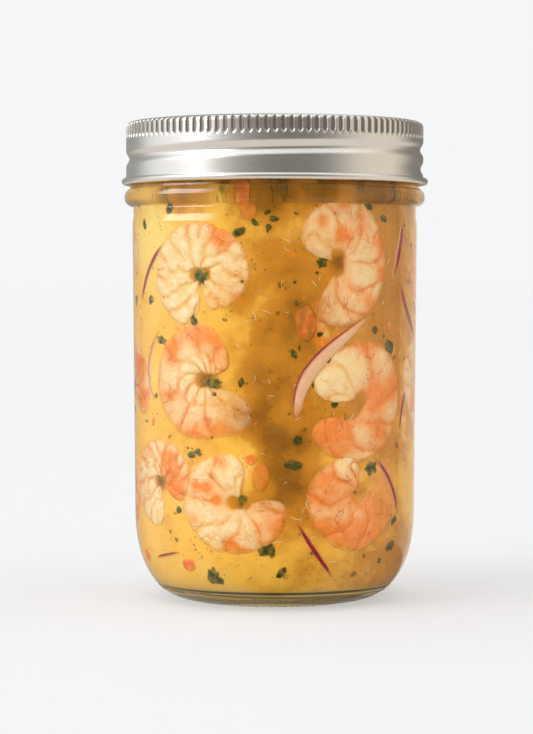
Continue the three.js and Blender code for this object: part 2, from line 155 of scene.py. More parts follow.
# The prawns in front, row by row from the top. Each winds round the hole in its curl, from its blunt end, at
# `turn`, to its tail over `sweep` degrees, and anticlockwise where `flip` is 1. `lobed` is how strongly it
# shows lobes, `deep_start` and `deep_end` how far its ends are sunk in the sauce, the tail from `end_from`
# on, `uncurl` how far its tail stands out, `pointed` how pointed it is, `narrow` and `taper` how much its
# blunt end and its tail narrow, `slot` the direction in degrees in which its hole is long, and `warmth` how
# orange its flesh is. The last list has warmer parts, or paler ones: right of and above the hole, how wide,
# all in millimetres, and how much.
PRAWNS = (
    (
        "upper",
        dict(azimuth=-31.8, z=95.2, size=33, turn=272, flip=-1, sweep=352, lobed=1.0, warmth=0.12),
        dict(deep_end=0.4, end_from=0.7),
        (
            (6, 13, 4, 0.7),
            (6.5, 9, 3, 0.5),
            (11.6, -8.7, 3, 0.4),
            (-14, 2, 3, 0.3),
            (-4, 12, 3, 0.3),
        ),
    ),
    (
        "upper",
        dict(azimuth=25.9, z=98.5, size=36.6, turn=166, flip=-1, sweep=284, lobed=0.1, warmth=0.3),
        dict(deep_start=0.4, deep_end=0.7, end_from=0.84, taper=0.1, narrow=0.3, slot=90),
        (
            (2, 17, 3, 0.8),
            (1.6, 8.2, 3.2, 0.6),
            (-4.8, 11.3, 2.2, 0.6),
            (12.8, 5.8, 3.5, 0.5),
            (15, -2.4, 3, 0.5),
            (10, -9.7, 3, 0.4),
            (8, 12, 3, 0.3),
            (-6, 4, 3, -0.4),
        ),
    ),
    (
        "middle",
        dict(azimuth=-28.6, z=65.4, size=36.4, turn=338, flip=-1, sweep=312, lobed=0.7, warmth=0.38),
        dict(deep_start=0.8, pointed=0.7, taper=0.1, slot=0),
        (
            (12.8, 4.3, 2.6, 1.2),
            (-3.7, 13, 3.5, 0.6),
            (-11.7, 8.7, 3, 0.7),
            (4.2, 12.6, 3, 0.5),
            (-3.7, -15, 3, 0.5),
            (4, -14, 3, 0.6),
            (-5, 5, 3, -0.4),
            (-13, -4, 3, 0.2),
        ),
    ),
    (
        "middle",
        dict(azimuth=35.2, z=58.6, size=36.8, turn=176, flip=-1, sweep=337, lobed=0.1, warmth=0.45),
        dict(uncurl=0.1, taper=0.42, narrow=0.12, slot=45),
        (
            (-9.7, -6.3, 5.5, 0.9),
            (-17, -3.4, 2.5, 0.5),
            (13, 4.3, 4, 0.4),
            (3.4, 16, 4, 0.35),
            (-5, -11.6, 2.5, 0.5),
            (8, -8, 4, 0.45),
            (-6.9, 6.3, 6, -0.8),
            (6, 2, 4, 0.5),
        ),
    ),
    (
        "lower",
        dict(azimuth=-14.6, z=31.1, size=34, turn=78, flip=1, sweep=290, lobed=0.4, warmth=0.25),
        dict(deep_end=0.5, end_from=0.8, narrow=0.12, slot=0),
        (
            (-9.5, 4.3, 1.9, 0.6),
            (-4.5, 11, 2, 0.5),
            (-13, 4.3, 2, 0.6),
            (-2.5, -12.5, 2.2, 0.9),
            (1.5, -14.5, 2.2, 0.9),
            (13.5, -8.2, 5, 0.8),
            (-6.5, 1, 1.6, 0.7),
            (0, 8, 4, -0.4),
            (-14, -5, 2, 0.5),
        ),
    ),
    (
        "lower",
        dict(azimuth=37.4, z=34.3, size=35.2, turn=98, flip=1, sweep=308, lobed=0.2, warmth=0.62),
        dict(deep_end=0.6, end_from=0.6, uncurl=0.1, taper=0.5, narrow=0.36, slot=60),
        (
            (-10, 2.4, 3.5, 0.6),
            (-15.5, 4.8, 2.5, 0.4),
            (-10.6, -11.6, 4, 0.8),
            (-7, -15.5, 3, 0.9),
            (0, -12.5, 3, 0.7),
            (5, -11, 3, 0.5),
            (9, -3.4, 5, 0.5),
            (-6, 9, 4.5, -0.7),
        ),
    ),
    (
        "lower",
        dict(azimuth=-54, z=36, size=28.5, turn=285, flip=-1, sweep=325, lobed=1.0, warmth=0.3),
        dict(),
        (
            (4, 5.3, 4, 0.9),
            (6.3, -2, 3, 0.9),
            (0.4, -9.2, 4, -0.5),
            (-9, 10, 4, 0.3),
        ),
    ),
)

# The rows of knobs on the most lobed prawns: where each lies across the body, from -1 at the hole to 1 at the
# rim, its half width, and how many knobs it has for each segment.
KNOB_ROWS = ((-0.58, 0.46, 1.0), (0.06, 0.38, 1.4), (0.62, 0.56, 2.0))

# The rows of prawns round the rest of the jar: each row's height and the azimuths it runs between.
REAR_ROWS = (("upper", 98, 97, 263), ("middle", 63, 87, 275), ("lower", 32, 95, 262))
REAR_PER_ROW = 4

# Onion slivers: from one (azimuth, z) to another, how far they bow sideways in degrees, how wide they show
# and how much of that width is the dark skin.
ONIONS = (
    ((-51.2, 104.4), (-69.5, 87.5), -2.5, 1.7, 0.9),
    ((-54.7, 79.4), (-58.5, 59.2), -6, 1.0, 0.6),
    ((63.5, 110.4), (56.7, 95.1), 0.5, 2.6, 0.8),
    ((62, 93), (82, 76), -3, 2.2, 0.8),
    ((40.4, 83), (8.4, 55), -9, 4.4, 0.13),
    ((44.7, 43.3), (60.3, 26.5), 2.5, 1.9, 0.8),
    ((8.9, 25.6), (25.5, 10), -1, 1.3, 0.9),
    ((118, 86), (126, 108), 7, 1.8, 0.7),
    ((182, 48), (160, 66), -6, 3.4, 0.25),
    ((238, 80), (216, 60), 5, 1.7, 0.8),
    ((-60.2, 14), (-43.8, 16.3), 0, 0.8, 0.8),
    ((67.1, 61.7), (62, 50.3), -1, 0.9, 0.8),
)

# Pieces of tomato: azimuth, z, width, height and how far they are sunk in the sauce.
TOMATO = (
    (-12.9, 118.3, 4.4, 8, 0.45),
    (-10.8, 113.2, 5, 6.4, 0.6),
    (12.4, 81.5, 6.2, 10, 0.55),
    (-9.9, 43.4, 3.4, 3, 0.2),
    (-5.9, 38.5, 4.6, 8, 0.6),
    (-39.5, 12.9, 5, 3.8, 0.05),
    (-59.2, 53, 1.8, 2.6, 0.1),
    (53.5, 80.5, 2.8, 3.2, 0.4),
    (124, 80, 5.4, 4.6, 0.1),
    (182, 79, 4.8, 6, 0.2),
    (236, 46, 5.6, 4.6, 0.1),
    (290, 14, 4.4, 3.8, 0.1),
)

# Where the sauce's colour is deep or, with a negative depth, pale: azimuth, z, half width in degrees, half
# height and depth. It is partly thick and creamy sauce and partly painted light: the deep patches in the
# middle, on the right and under the band are painted shade, and the pale ones on the left painted light.
THICK_SAUCE_AND_PAINTED_LIGHT = (
    (6, 76, 15, 32, 1.35),
    (-12, 80, 13, 60, 0.4),
    (8, 36, 13, 16, 1.0),
    (-2, 40, 8, 14, 1.1),
    (12, 119, 60, 5, 1.5),
    (50, 85, 26, 50, 1.1),
    (62, 14, 26, 14, 0.9),
    (-62, 123, 44, 5, 0.9),
    (-58, 106, 26, 15, -0.9),
    (-22, 113, 9, 4, 0.6),
    (-40, 12, 26, 8, -0.3),
    (-62, 62, 14, 30, -0.3),
    (125, 90, 22, 30, 0.8),
    (175, 45, 26, 24, 0.9),
    (215, 100, 24, 18, -0.8),
    (250, 40, 20, 30, 0.6),
    (150, 14, 40, 9, -0.5),
)

# Shreds of prawn that show through the sauce: azimuth, z, half width in degrees, half height and how much
# they show.
SHREDS = (
    (-34.6, 37.5, 7, 5, 1.0),
    (-12.7, 42, 5, 4, 0.8),
    (17.5, 83, 5, 5, 0.9),
    (9, 108, 7, 5, 0.3),
    (21, 77.5, 9, 3, 0.8),
    (67, 53, 5, 12, 0.9),
    (-71, 83, 5, 7, 0.8),
    (-72, 60, 4, 10, 0.6),
    (-20, 20, 8, 4, 0.4),
    (-40, 80, 6, 3, 0.6),
    (100, 50, 14, 8, 0.8),
    (165, 85, 12, 10, 0.8),
    (215, 30, 14, 8, 0.8),
    (262, 80, 10, 10, 0.7),
)

# The larger herb leaves in front: azimuth, z and size.
LEAVES = (
    (-31.1, 94.5, 4.6),
    (-34.9, 82.4, 4.4),
    (-60.9, 87.9, 3.0),
    (-53.1, 76.5, 4.2),
    (-48, 114.1, 3.6),
    (-66.3, 109.5, 2.6),
    (-25.6, 64.7, 4.4),
    (-36, 44.2, 2.6),
    (-32.9, 45.1, 2.4),
    (-55.3, 37.8, 2.8),
    (-0.6, 110.6, 2.4),
    (-14.7, 107, 3.6),
    (-8.1, 109.6, 2.2),
    (19, 98.7, 3.2),
    (-13.8, 65.1, 2.4),
    (6.8, 41.9, 4.8),
    (-3.5, 18, 4.6),
    (-13.3, 32, 3.0),
    (2.5, 11.5, 3.6),
    (-27.4, 9.9, 5.0),
    (42.6, 40.3, 4.0),
    (57.7, 24.6, 3.4),
    (56.7, 17.5, 4.0),
    (40.8, 114.5, 2.6),
    (49.6, 111, 2.4),
    (53.6, 74.5, 4.0),
    (44.2, 79.5, 2.0),
    (16.5, 64.2, 2.8),
    (24.6, 58.8, 2.4),
    (8.9, 48.9, 2.6),
    (7.5, 73, 2.4),
    (-42.8, 28.3, 2.0),
    (-31.1, 59.3, 1.8),
    (-1.1, 16.6, 1.6),
    (50.2, 13.6, 1.6),
    (-49.7, 118.5, 3.4),
    (-32.4, 120.5, 2.6),
    (-20.5, 119.5, 3.8),
    (3.2, 119.8, 4.4),
    (19.4, 121.5, 3.0),
    (36.7, 119.5, 3.4),
    (55.4, 120.5, 3.0),
    (-3.2, 112.5, 2.0),
    (-2.7, 108.2, 2.2),
    (29.2, 61, 1.4),
    (22.1, 71.5, 2.2),
)

# ---------------------------------------------------------------- colours that go with the panel's own
# The first colour is a painted highlight on the tops of the prawns' lobes.
PRAWN_HIGHLIGHT = (0.985, 0.84, 0.54)
PRAWN_VEIN_PALE = (0.87, 0.47, 0.085)
ONION_FLESH_STREAK = (0.90, 0.62, 0.42)
ONION_SKIN_STREAK = (0.48, 0.06, 0.11)
HERB_PALE = (0.085, 0.115, 0.012)
HERB_RIB = (0.26, 0.26, 0.06)
TOMATO_PALE = (0.93, 0.36, 0.08)
PULP = (0.96, 0.80, 0.40)
PULP_PALE = (0.98, 0.90, 0.62)
# Painted shade on the sauce's underside, and the painted light of its rings.
UNDERSIDE_SHADE = (0.09, 0.05, 0.005)
UNDERSIDE_RING_LIGHT = (0.98, 0.72, 0.22)
STEEL_SMUDGE = (0.72, 0.70, 0.67)
# Painted shade in the band's slots.
RECESS_SHADE = (0.34, 0.30, 0.27)
DARK_FRONT = (0.03, 0.028, 0.025)
GREY_PATCH = (0.33, 0.33, 0.31)

# ---------------------------------------------------------------- the studio, in metres and degrees
FLOOR_RADIUS = 40
FLOOR_TINT = (0.99, 1.015, 1.045)
GLOW_TINT = (1, 1.003, 1.012)
BACKDROP_TINT = (1, 1.005, 1.015)
KEY_SPREAD = 40  # how wide the key light looks
FOCAL_LENGTH = 114.28  # in millimetres
SENSOR = 36  # the picture's longer side in millimetres
CAMERA_X = -0.00243
CAMERA_TILT = 2.161  # how far the camera looks down
CLIP_END = 200


# ---------------------------------------------------------------- what a user would change
def colour_property(name, description, default):
    return FloatVectorProperty(name=name, description=description, default=default, subtype="COLOR")


def length_property(name, description, default):
    return FloatProperty(
        name=name, description=description, default=default, unit="LENGTH", subtype="DISTANCE"
    )


def angle_property(name, description, degrees):
    return FloatProperty(
        name=name, description=description, default=math.radians(degrees), subtype="ANGLE"
    )


def strength_property(name, description, default, **limits):
    return FloatProperty(name=name, description=description, default=default, min=0, **limits)


class CevicheLook(PropertyGroup):
    sauce: colour_property("Sauce", "Colour of the thick sauce", (0.95, 0.57, 0.088))
    sauce_deep: colour_property("Deep sauce", "Colour where the sauce is thick", (0.62, 0.268, 0.023))
    # Painted shade: the tone of the prawns' hollows and the deepest patches.
    sauce_dark: colour_property("Dark sauce", "Colour in the hollows", (0.28, 0.112, 0.006))
    sauce_pale: colour_property("Pale sauce", "Colour where the sauce is creamy", (0.96, 0.72, 0.19))
    prawn_pale: colour_property("Pale prawn", "Colour of the prawns' flesh", (0.97, 0.67, 0.28))
    prawn_warm: colour_property("Warm prawn", "Colour of the prawns' warm parts", (0.94, 0.30, 0.025))
    prawn_vein: colour_property("Prawn veins", "Colour of veins and patches", (0.72, 0.15, 0.01))
    onion_skin: colour_property("Onion skin", "Colour of the onion's skin", (0.30, 0.012, 0.045))
    onion_flesh: colour_property("Onion flesh", "Colour of the onion's flesh", (0.86, 0.55, 0.36))
    herb: colour_property("Herbs", "Colour of the chopped leaves", (0.025, 0.04, 0.003))
    tomato: colour_property("Tomato", "Colour of the tomato pieces", (0.86, 0.15, 0.025))
    relief: length_property("Prawn relief", "Depth of the grooves between a prawn's segments", 1.2 * MM)
    small_leaves: IntProperty(name="Small leaves", description="Number of small leaf pieces", default=190)
    flecks: IntProperty(name="Flecks", description="Number of tiny herb flecks", default=1400)
    fibres: IntProperty(name="Fibres", description="Number of pale pulp fibres", default=420)


class ContainerLook(PropertyGroup):
    glass: colour_property("Glass", "Tint of the glass", (0.975, 0.985, 0.965))
    steel: colour_property("Steel", "Colour of the band", (0.80, 0.785, 0.76))
    steel_roughness: strength_property(
        "Steel roughness", "Roughness of the band", 0.24, max=1, subtype="FACTOR"
    )
    knurl_depth: length_property("Knurl depth", "Depth of the slots round the band's edge", 0.5 * MM)


class StudioLook(PropertyGroup):
    floor: strength_property("Floor", "How much light the floor gives back", 0.479, max=1)
    floor_glow: strength_property("Floor glow", "The floor's own even brightness", 0.435)
    backdrop: strength_property("Backdrop", "Brightness behind the object", 0.915)
    left_light: colour_property("Left light", "Light from the left", (1.02, 1.02, 1.01))
    right_light: colour_property("Right light", "Light from the right", (0.86, 0.77, 0.64))
    front_light: colour_property("Front light", "Light from the front", (0.19, 0.175, 0.15))
    back_left: colour_property("Back left", "Light from behind on the left", (0.45, 0.45, 0.43))
    back_right: colour_property("Back right", "Light from behind on the right", (0.21, 0.2, 0.18))
    left_fill: colour_property("Left fill", "Fill light in the jar, left", (0.6, 0.6, 0.6))
    right_fill: colour_property("Right fill", "Fill light in the jar, right", (3.0, 2.65, 2.15))
    top_light: colour_property("Top light", "Light from above", (1.25, 1.25, 1.25))
    low_light: colour_property("Low light", "What the floor gives back", (0.42, 0.42, 0.42))
    table_light: colour_property("Table light", "The table's image in the band", (0.84, 0.77, 0.70))
    softbox: colour_property("Softbox", "The lamp's mirror image in the glass", (8, 8, 8))
    key: strength_property("Key", "Strength of the key light", 0.98)
    key_azimuth: angle_property("Key azimuth", "Where the key light stands", -62)
    key_height: angle_property("Key height", "How high the key light stands", 26)
    camera_distance: length_property("Camera distance", "From the jar's axis", 0.690)
    camera_height: length_property("Camera height", "Above the floor", 0.0939)


# ---------------------------------------------------------------- materials
class Wire:
    """A socket of a finish. Arithmetic on it adds Math nodes."""

    def __init__(self, finish, socket):
        self.finish = finish
        self.socket = socket

    def maths(self, operation, *values):
        return self.finish.node("Math", {"operation": operation}, dict(enumerate(values)))

    def __add__(self, other):
        return self.maths("ADD", self, other)

    __radd__ = __add__

    def __mul__(self, other):
        return self.maths("MULTIPLY", self, other)

    def __sub__(self, other):
        return self.maths("SUBTRACT", self, other)

    def __rsub__(self, other):
        return self.maths("SUBTRACT", other, self)

    def at_most(self, other):
        return self.maths("MINIMUM", self, other)

    def at_least(self, other):
        return self.maths("MAXIMUM", self, other)

    def step(self, low, high):
        """Rises smoothly from 0 at low to 1 at high, and falls where low is above high."""
        if low > high:
            return 1 - self.step(high, low)
        settings = {"interpolation_type": "SMOOTHSTEP"}
        inputs = {"Value": self, "From Min": low, "From Max": high}
        return self.finish.node("MapRange", settings, inputs)

    def within(self, low, low_full, high_full, high):
        """Is 1 from low_full to high_full, and 0 below low and above high."""
        return self.step(low, low_full) * self.step(high, high_full)


class Finish:
    """The nodes of a material or of the studio's light, in the making."""

    def __init__(self, name, made_in=bpy.data.materials):
        self.owner = made_in.new(name)
        self.owner.use_nodes = True
        self.tree = self.owner.node_tree
        self.tree.nodes.clear()

    def node(self, kind, settings=None, inputs=None, output=0):
        """Adds a node: its settings first, then the values or links of its sockets."""
        made = self.tree.nodes.new("ShaderNode" + kind)
        for name, value in (settings or {}).items():
            setattr(made, name, value)
        for key, value in (inputs or {}).items():
            if isinstance(value, Wire):
                self.tree.links.new(value.socket, made.inputs[key])
            else:
                made.inputs[key].default_value = value
        return Wire(self, made.outputs[output]) if made.outputs else None

    def split(self, vector):
        """The three parts of a vector."""
        made = self.node("SeparateXYZ", inputs={0: vector}).socket.node
        return [Wire(self, socket) for socket in made.outputs]

    def place(self):
        return self.node("TexCoord", output="Object")

    def attribute(self, name):
        return self.node("Attribute", {"attribute_name": name}, output="Fac")

    def mix(self, share, low, high):
        """A colour between two colours."""
        inputs = {0: share, 6: solid(low), 7: solid(high)}
        return self.node("Mix", {"data_type": "RGBA"}, inputs, output=2)

    def shift(self, vector, amount, scale):
        """The place moved about by a noise, by up to about amount, in metres."""
        inputs = {"Vector": vector, "Scale": scale, "Detail": 2.0}
        wobble = self.node("TexNoise", inputs=inputs, output="Color")
        centred = self.node("VectorMath", {"operation": "SUBTRACT"}, {0: wobble, 1: (0.5, 0.5, 0.5)})
        scaled = self.node("VectorMath", {"operation": "SCALE"}, {0: centred, "Scale": amount * 2})
        return self.node("VectorMath", {"operation": "ADD"}, {0: vector, 1: scaled})

    def noise(self, size, detail=3.0, roughness=0.55, vector=None):
        """An uneven value from about 0.3 to 0.7, with blots of this size in millimetres."""
        inputs = {"Vector": vector or self.place(), "Scale": 1 / (size * MM), "Detail": detail}
        return self.node("TexNoise", inputs={**inputs, "Roughness": roughness})

    def net(self, size, low, high, vector=None):
        """The lines of a net with meshes of this size in millimetres: 1 within high of a line, 0 past low."""
        inputs = {"Vector": vector or self.place(), "Scale": 1 / (size * MM)}
        return self.node("TexVoronoi", {"feature": "DISTANCE_TO_EDGE"}, inputs).step(low, high)

    def bump(self, height, strength, distance):
        """A normal that is roughened by a height, whose full range is distance, in millimetres."""
        inputs = {"Height": height, "Strength": strength, "Distance": distance * MM}
        return self.node("Bump", inputs=inputs)

    def surface(self, **sockets):
        """Ends the material with a Principled shader. Socket names are written with underscores."""
        inputs = {name.replace("_", " "): value for name, value in sockets.items()}
        shader = self.node("BsdfPrincipled", inputs=inputs)
        self.node("OutputMaterial", inputs={"Surface": shader})
        return self.owner


def solid(colour):
    """A colour with its alpha, or a link as it is."""
    return colour if isinstance(colour, Wire) else (*colour, 1.0)


def sauce_colour(finish, look):
    """The sauce's mottled colour. Pieces that are partly sunk in the sauce mix towards it."""
    thick = finish.attribute("thick")
    flesh = finish.attribute("flesh")
    broad = finish.noise(14, roughness=0.5)
    clouds = finish.noise(4.5, detail=4, roughness=0.6)
    grain = finish.noise(0.7, detail=2)
    # Deep and pale tones follow the sauce's thickness and painted light: painted shade in the middle, on the
    # right, under the band and in the prawns' hollows, and painted light on the left.
    uneven = thick + (broad - 0.5) * 1.8 + (clouds - 0.5) * 1.3 + 0.1
    colour = finish.mix(uneven.step(0.0, 1.0), look.sauce, look.sauce_deep)
    colour = finish.mix(uneven.step(0.0, -0.9), colour, look.sauce_pale)
    # The darkest tone is painted shade, in the prawns' hollows and the deepest patches.
    colour = finish.mix(uneven.step(0.9, 2.1), colour, look.sauce_dark)
    creamy = clouds.step(0.52, 0.74) * 0.3 + grain.step(0.58, 0.75) * 0.2
    creamy = creamy * (1 - uneven.step(0.0, 1.0) * 0.75)
    colour = finish.mix(creamy, colour, look.sauce_pale)
    torn = finish.noise(3.2)
    shreds = (flesh + (torn - 0.5) * 3).step(0.1, 1.0) * flesh.step(0.0, 0.5)
    shred_colour = finish.mix(clouds.step(0.4, 0.6), look.prawn_pale, look.prawn_warm)
    colour = finish.mix(shreds * 0.65, colour, shred_colour)
    scraps = torn.step(0.58, 0.7) * broad.step(0.42, 0.6)
    return finish.mix(scraps * 0.4, colour, look.prawn_warm)


def sunk_finish(finish, look, colour, **sockets):
    """Ends the material of a piece that is partly sunk in the sauce, as far as its attribute veil says."""
    colour = finish.mix(finish.attribute("veil"), colour, sauce_colour(finish, look))
    return finish.surface(Base_Color=colour, **sockets)


def sauce_finish(look):
    finish = Finish("yellow_sauce")
    grain = finish.noise(1.3)
    across = finish.node("VectorMath", {"operation": "MULTIPLY"}, {0: finish.place(), 1: (1, 1, 0)})
    radius = finish.node("VectorMath", {"operation": "LENGTH"}, {0: across}, output="Value")
    # The underside is painted shade, dark where the floor under the jar gets little light, crossed by rings
    # of painted light that stand for the glass base's rings.
    rings = finish.noise(1.0, detail=2, vector=finish.node("CombineXYZ", inputs={0: radius * 0.6}))
    under = finish.mix(rings.step(0.42, 0.62), UNDERSIDE_SHADE, UNDERSIDE_RING_LIGHT)
    colour = finish.mix(finish.attribute("under"), sauce_colour(finish, look), under)
    return finish.surface(
        Base_Color=colour,
        Roughness=0.4,
        Specular_IOR_Level=0.08,
        Normal=finish.bump(grain, 0.3, 0.4),
    )


def prawn_finish(look):
    finish = Finish("cooked_prawn")
    crease = finish.attribute("crease")
    warm = finish.attribute("warm")
    veil = finish.attribute("veil")
    blots = finish.noise(6.5)
    small = finish.noise(2.6, detail=4, roughness=0.6)
    fine = finish.noise(1.2)
    # The warm tone is partly the flesh's own orange and partly painted shade between the lobes.
    heat = (warm + (blots - 0.5) * 0.9 + (small - 0.5) * 0.5).step(0.05, 1.05)
    colour = finish.mix(heat, look.prawn_pale, look.prawn_warm)
    # Painted highlight: a near-white spot on the top of each plump lobe.
    lobe_highlights = (1 - crease) * (1 - heat) * finish.attribute("plump").step(0.6, 0.95)
    colour = finish.mix(lobe_highlights * (0.4 + small.step(0.4, 0.62) * 0.6), colour, PRAWN_HIGHLIGHT)
    along, aside = finish.attribute("along"), finish.attribute("aside")
    body = finish.node("CombineXYZ", inputs={0: along, 1: aside * 0.6})
    body = finish.shift(body, 1.6 * MM, 300)
    veins = finish.net(7.5, 0.03, 0.006, body)
    veins = veins.at_least(finish.net(2.8, 0.05, 0.008, body) * 0.7)
    veins = veins * finish.noise(4).step(0.46, 0.62)
    broken = small.step(0.34, 0.5)
    # Marks in the vein colour: veins, the lines between segments, and painted shade in the grooves.
    marks = (veins * (0.5 + heat * 0.35) + crease * broken * 0.75).at_most(0.85)
    mark_colour = finish.mix(heat.step(0.1, 0.45), PRAWN_VEIN_PALE, look.prawn_vein)
    colour = finish.mix(marks, colour, mark_colour)
    colour = finish.mix(veil, colour, sauce_colour(finish, look))
    height = fine + small * 1.5 - veins * 0.4
    return finish.surface(
        Base_Color=colour,
        Roughness=0.14 + veil * 0.3,
        Specular_IOR_Level=0.5,
        Subsurface_Weight=0.25,
        Subsurface_Radius=(1.0, 0.4, 0.15),
        Subsurface_Scale=1.2 * MM,
        Normal=finish.bump(height, 0.6, 0.45),
    )


def onion_finish(look):
    finish = Finish("red_onion")
    streaks = finish.noise(1.5)
    flesh = finish.mix(streaks.step(0.4, 0.65) * 0.6, look.onion_flesh, ONION_FLESH_STREAK)
    dark = finish.mix(streaks.step(0.45, 0.7) * 0.5, look.onion_skin, ONION_SKIN_STREAK)
    colour = finish.mix(finish.attribute("skin"), flesh, dark)
    normal = finish.bump(streaks, 0.2, 0.3)
    return sunk_finish(finish, look, colour, Roughness=0.3, Specular_IOR_Level=0.15, Normal=normal)


def herb_finish(look):
    finish = Finish("chopped_herb")
    blots = finish.noise(1.1)
    colour = finish.mix(blots.step(0.42, 0.66), look.herb, HERB_PALE)
    colour = finish.mix(finish.net(0.9, 0.1, 0.0) * 0.3, colour, HERB_RIB)
    normal = finish.bump(blots, 0.4, 0.3)
    return sunk_finish(finish, look, colour, Roughness=0.38, Specular_IOR_Level=0.12, Normal=normal)


def tomato_finish(look):
    finish = Finish("tomato_flesh")
    blots = finish.noise(2.0)
    colour = finish.mix(blots.step(0.42, 0.68), look.tomato, TOMATO_PALE)
    normal = finish.bump(blots, 0.3, 0.4)
    return sunk_finish(finish, look, colour, Roughness=0.25, Specular_IOR_Level=0.15, Normal=normal)


def fibre_finish():
    finish = Finish("lime_pulp")
    colour = finish.mix(finish.noise(0.8).step(0.4, 0.65), PULP, PULP_PALE)
    return finish.surface(Base_Color=colour, Roughness=0.22)


def glass_finish(look):
    finish = Finish("clear_glass")
    tint = solid(look.glass)
    return finish.surface(Base_Color=tint, Roughness=0.0, IOR=1.5, Transmission_Weight=1.0)


def steel_finish(name, look, roughness):
    """Satin steel, its fine brush marks slanting a little round the axis, with painted shade in the knurls'
    slots.
    """
    finish = Finish(name)
    x, y, z = finish.split(finish.place())
    round_way = x.maths("ARCTAN2", x, 0 - y) * (BAND_RADIUS * MM)
    slant = z + round_way * 0.12
    brushed = finish.node("CombineXYZ", inputs={0: round_way * 60, 1: slant * 1400, 2: 0.0})
    marks = finish.node("TexNoise", inputs={"Vector": brushed, "Scale": 1.0, "Detail": 3.0})
    smudge = finish.noise(9, detail=2)
    # The slots are drawn darker, as painted shade, and rougher.
    recess = finish.attribute("recess")
    colour = finish.mix(smudge.step(0.4, 0.7) * 0.25, look.steel, STEEL_SMUDGE)
    return finish.surface(
        Base_Color=finish.mix(recess, colour, RECESS_SHADE),
        Metallic=1.0,
        Roughness=roughness + marks * 0.1 + recess * 0.2,
        Normal=finish.bump(marks, 0.25, 0.05),
    )


# ---------------------------------------------------------------- shapes
def arc(r, z, radius_r, radius_z, start, stop, steps):
    """Points of a profile on an arc, angles in degrees from the outward direction."""
    angles = (math.radians(start + (stop - start) * i / steps) for i in range(steps + 1))
    return [(r + radius_r * math.cos(a), z + radius_z * math.sin(a)) for a in angles]


def line(start, stop, steps):
    """Points on a straight stretch of a profile, without its first point."""
    shares = [(i + 1) / steps for i in range(steps)]
    return [(start[0] + (stop[0] - start[0]) * s, start[1] + (stop[1] - start[1]) * s) for s in shares]


def heel_curve(low, high, share):
    """A radius that grows from low to high over the heel, fast at first."""
    return low + (high - low) * (1 - (1 - share) ** HEEL_POWER) ** HEEL_ROUNDING


def bore_at(z):
    """The wall's inside radius at these heights."""
    share = np.clip((z - FLOOR_Z) / (HEEL_HEIGHT - FLOOR_Z), 0, 1)
    neck = np.clip((z - SHOULDER_Z + 1) / (BEAD_Z + 7 - SHOULDER_Z), 0, 1)
    return heel_curve(WELL_RADIUS, BORE_RADIUS, share) + (MOUTH_RADIUS - BORE_RADIUS) * neck


def on_wall(across, z, height):
    """Points at a way round the bore in millimetres, a height, and a distance outside the sauce's face."""
    angle = across / BORE_RADIUS
    radius = bore_at(z) + SAUCE_OVERLAP + height
    return np.stack([radius * np.sin(angle), -radius * np.cos(angle), z], axis=-1)


def round_the_bore(azimuth):
    """The way round the bore to an azimuth, in millimetres."""
    return math.radians(azimuth) * BORE_RADIUS


def smooth(value, low, high):
    """Rises smoothly from 0 at low to 1 at high, and falls where low is above high."""
    share = np.clip((value - low) / (high - low), 0, 1)
    return share * share * (3 - 2 * share)


def patches(places, azimuth, z):
    """The sum of soft patches, each an azimuth, z, half width in degrees, half height and strength."""
    total = 0
    for middle, height, half_width, half_height, strength in places:
        aside = np.mod(azimuth - middle + 180, 360) - 180
        away = (aside / half_width) ** 2 + ((z - height) / half_height) ** 2
        total = total + strength * np.exp(-away)
    return total


def thickness_and_painted_light(azimuth, z):
    """How deep the sauce's colour is at these azimuths and heights, from -1 where pale to 1.7: partly thick
    and creamy sauce, partly painted shade and painted light.
    """
    turn = np.radians(azimuth)
    x = 40 * np.sin(turn) + 0.6 * z
    y = 40 * np.cos(turn) - 0.8 * z
    azimuth = azimuth + 9 * ripples(x, y, 26, 3) + 9 * ripples(x, y, 12, 4)
    z = z + 6 * ripples(x, y, 20, 5)
    return np.clip(patches(THICK_SAUCE_AND_PAINTED_LIGHT, azimuth, z), -1, 1.7)


def ripples(x, y, wavelength, seed):
    """An uneven value from -1 to 1, the sum of a few waves in seeded directions."""
    draw = random.Random(seed)
    total = 0
    for _ in range(5):
        heading = draw.uniform(0, math.tau)
        length = wavelength * draw.uniform(0.7, 1.4)
        along = (x * math.cos(heading) + y * math.sin(heading)) * math.tau / length
        total = total + np.sin(along + draw.uniform(0, math.tau))
    return total / 5


def spun(profile, steps, closed=False):
    """A bmesh of a profile, in points (radius, z), turned about the axis in a number of steps divisible by 8.

    An eighth is spun and then copied, as spinning it all in many steps is slow.
    """
    bm = bmesh.new()
    verts = [bm.verts.new((0, -r, z)) for r, z in profile]
    pairs = list(zip(verts, verts[1:])) + ([(verts[-1], verts[0])] if closed else [])
    edges = [bm.edges.new(pair) for pair in pairs]
    sector = math.tau / 8
    bmesh.ops.spin(bm, geom=verts + edges, axis=(0, 0, 1), angle=sector, steps=steps // 8)
    for turn in (sector, 2 * sector, 4 * sector):
        copied = bmesh.ops.duplicate(bm, geom=bm.verts[:] + bm.edges[:] + bm.faces[:])["geom"]
        verts = [part for part in copied if isinstance(part, bmesh.types.BMVert)]
        bmesh.ops.rotate(bm, verts=verts, matrix=Matrix.Rotation(turn, 3, "Z"))
    bmesh.ops.remove_doubles(bm, verts=bm.verts, dist=1e-4)
    bmesh.ops.recalc_face_normals(bm, faces=bm.faces)
    return bm


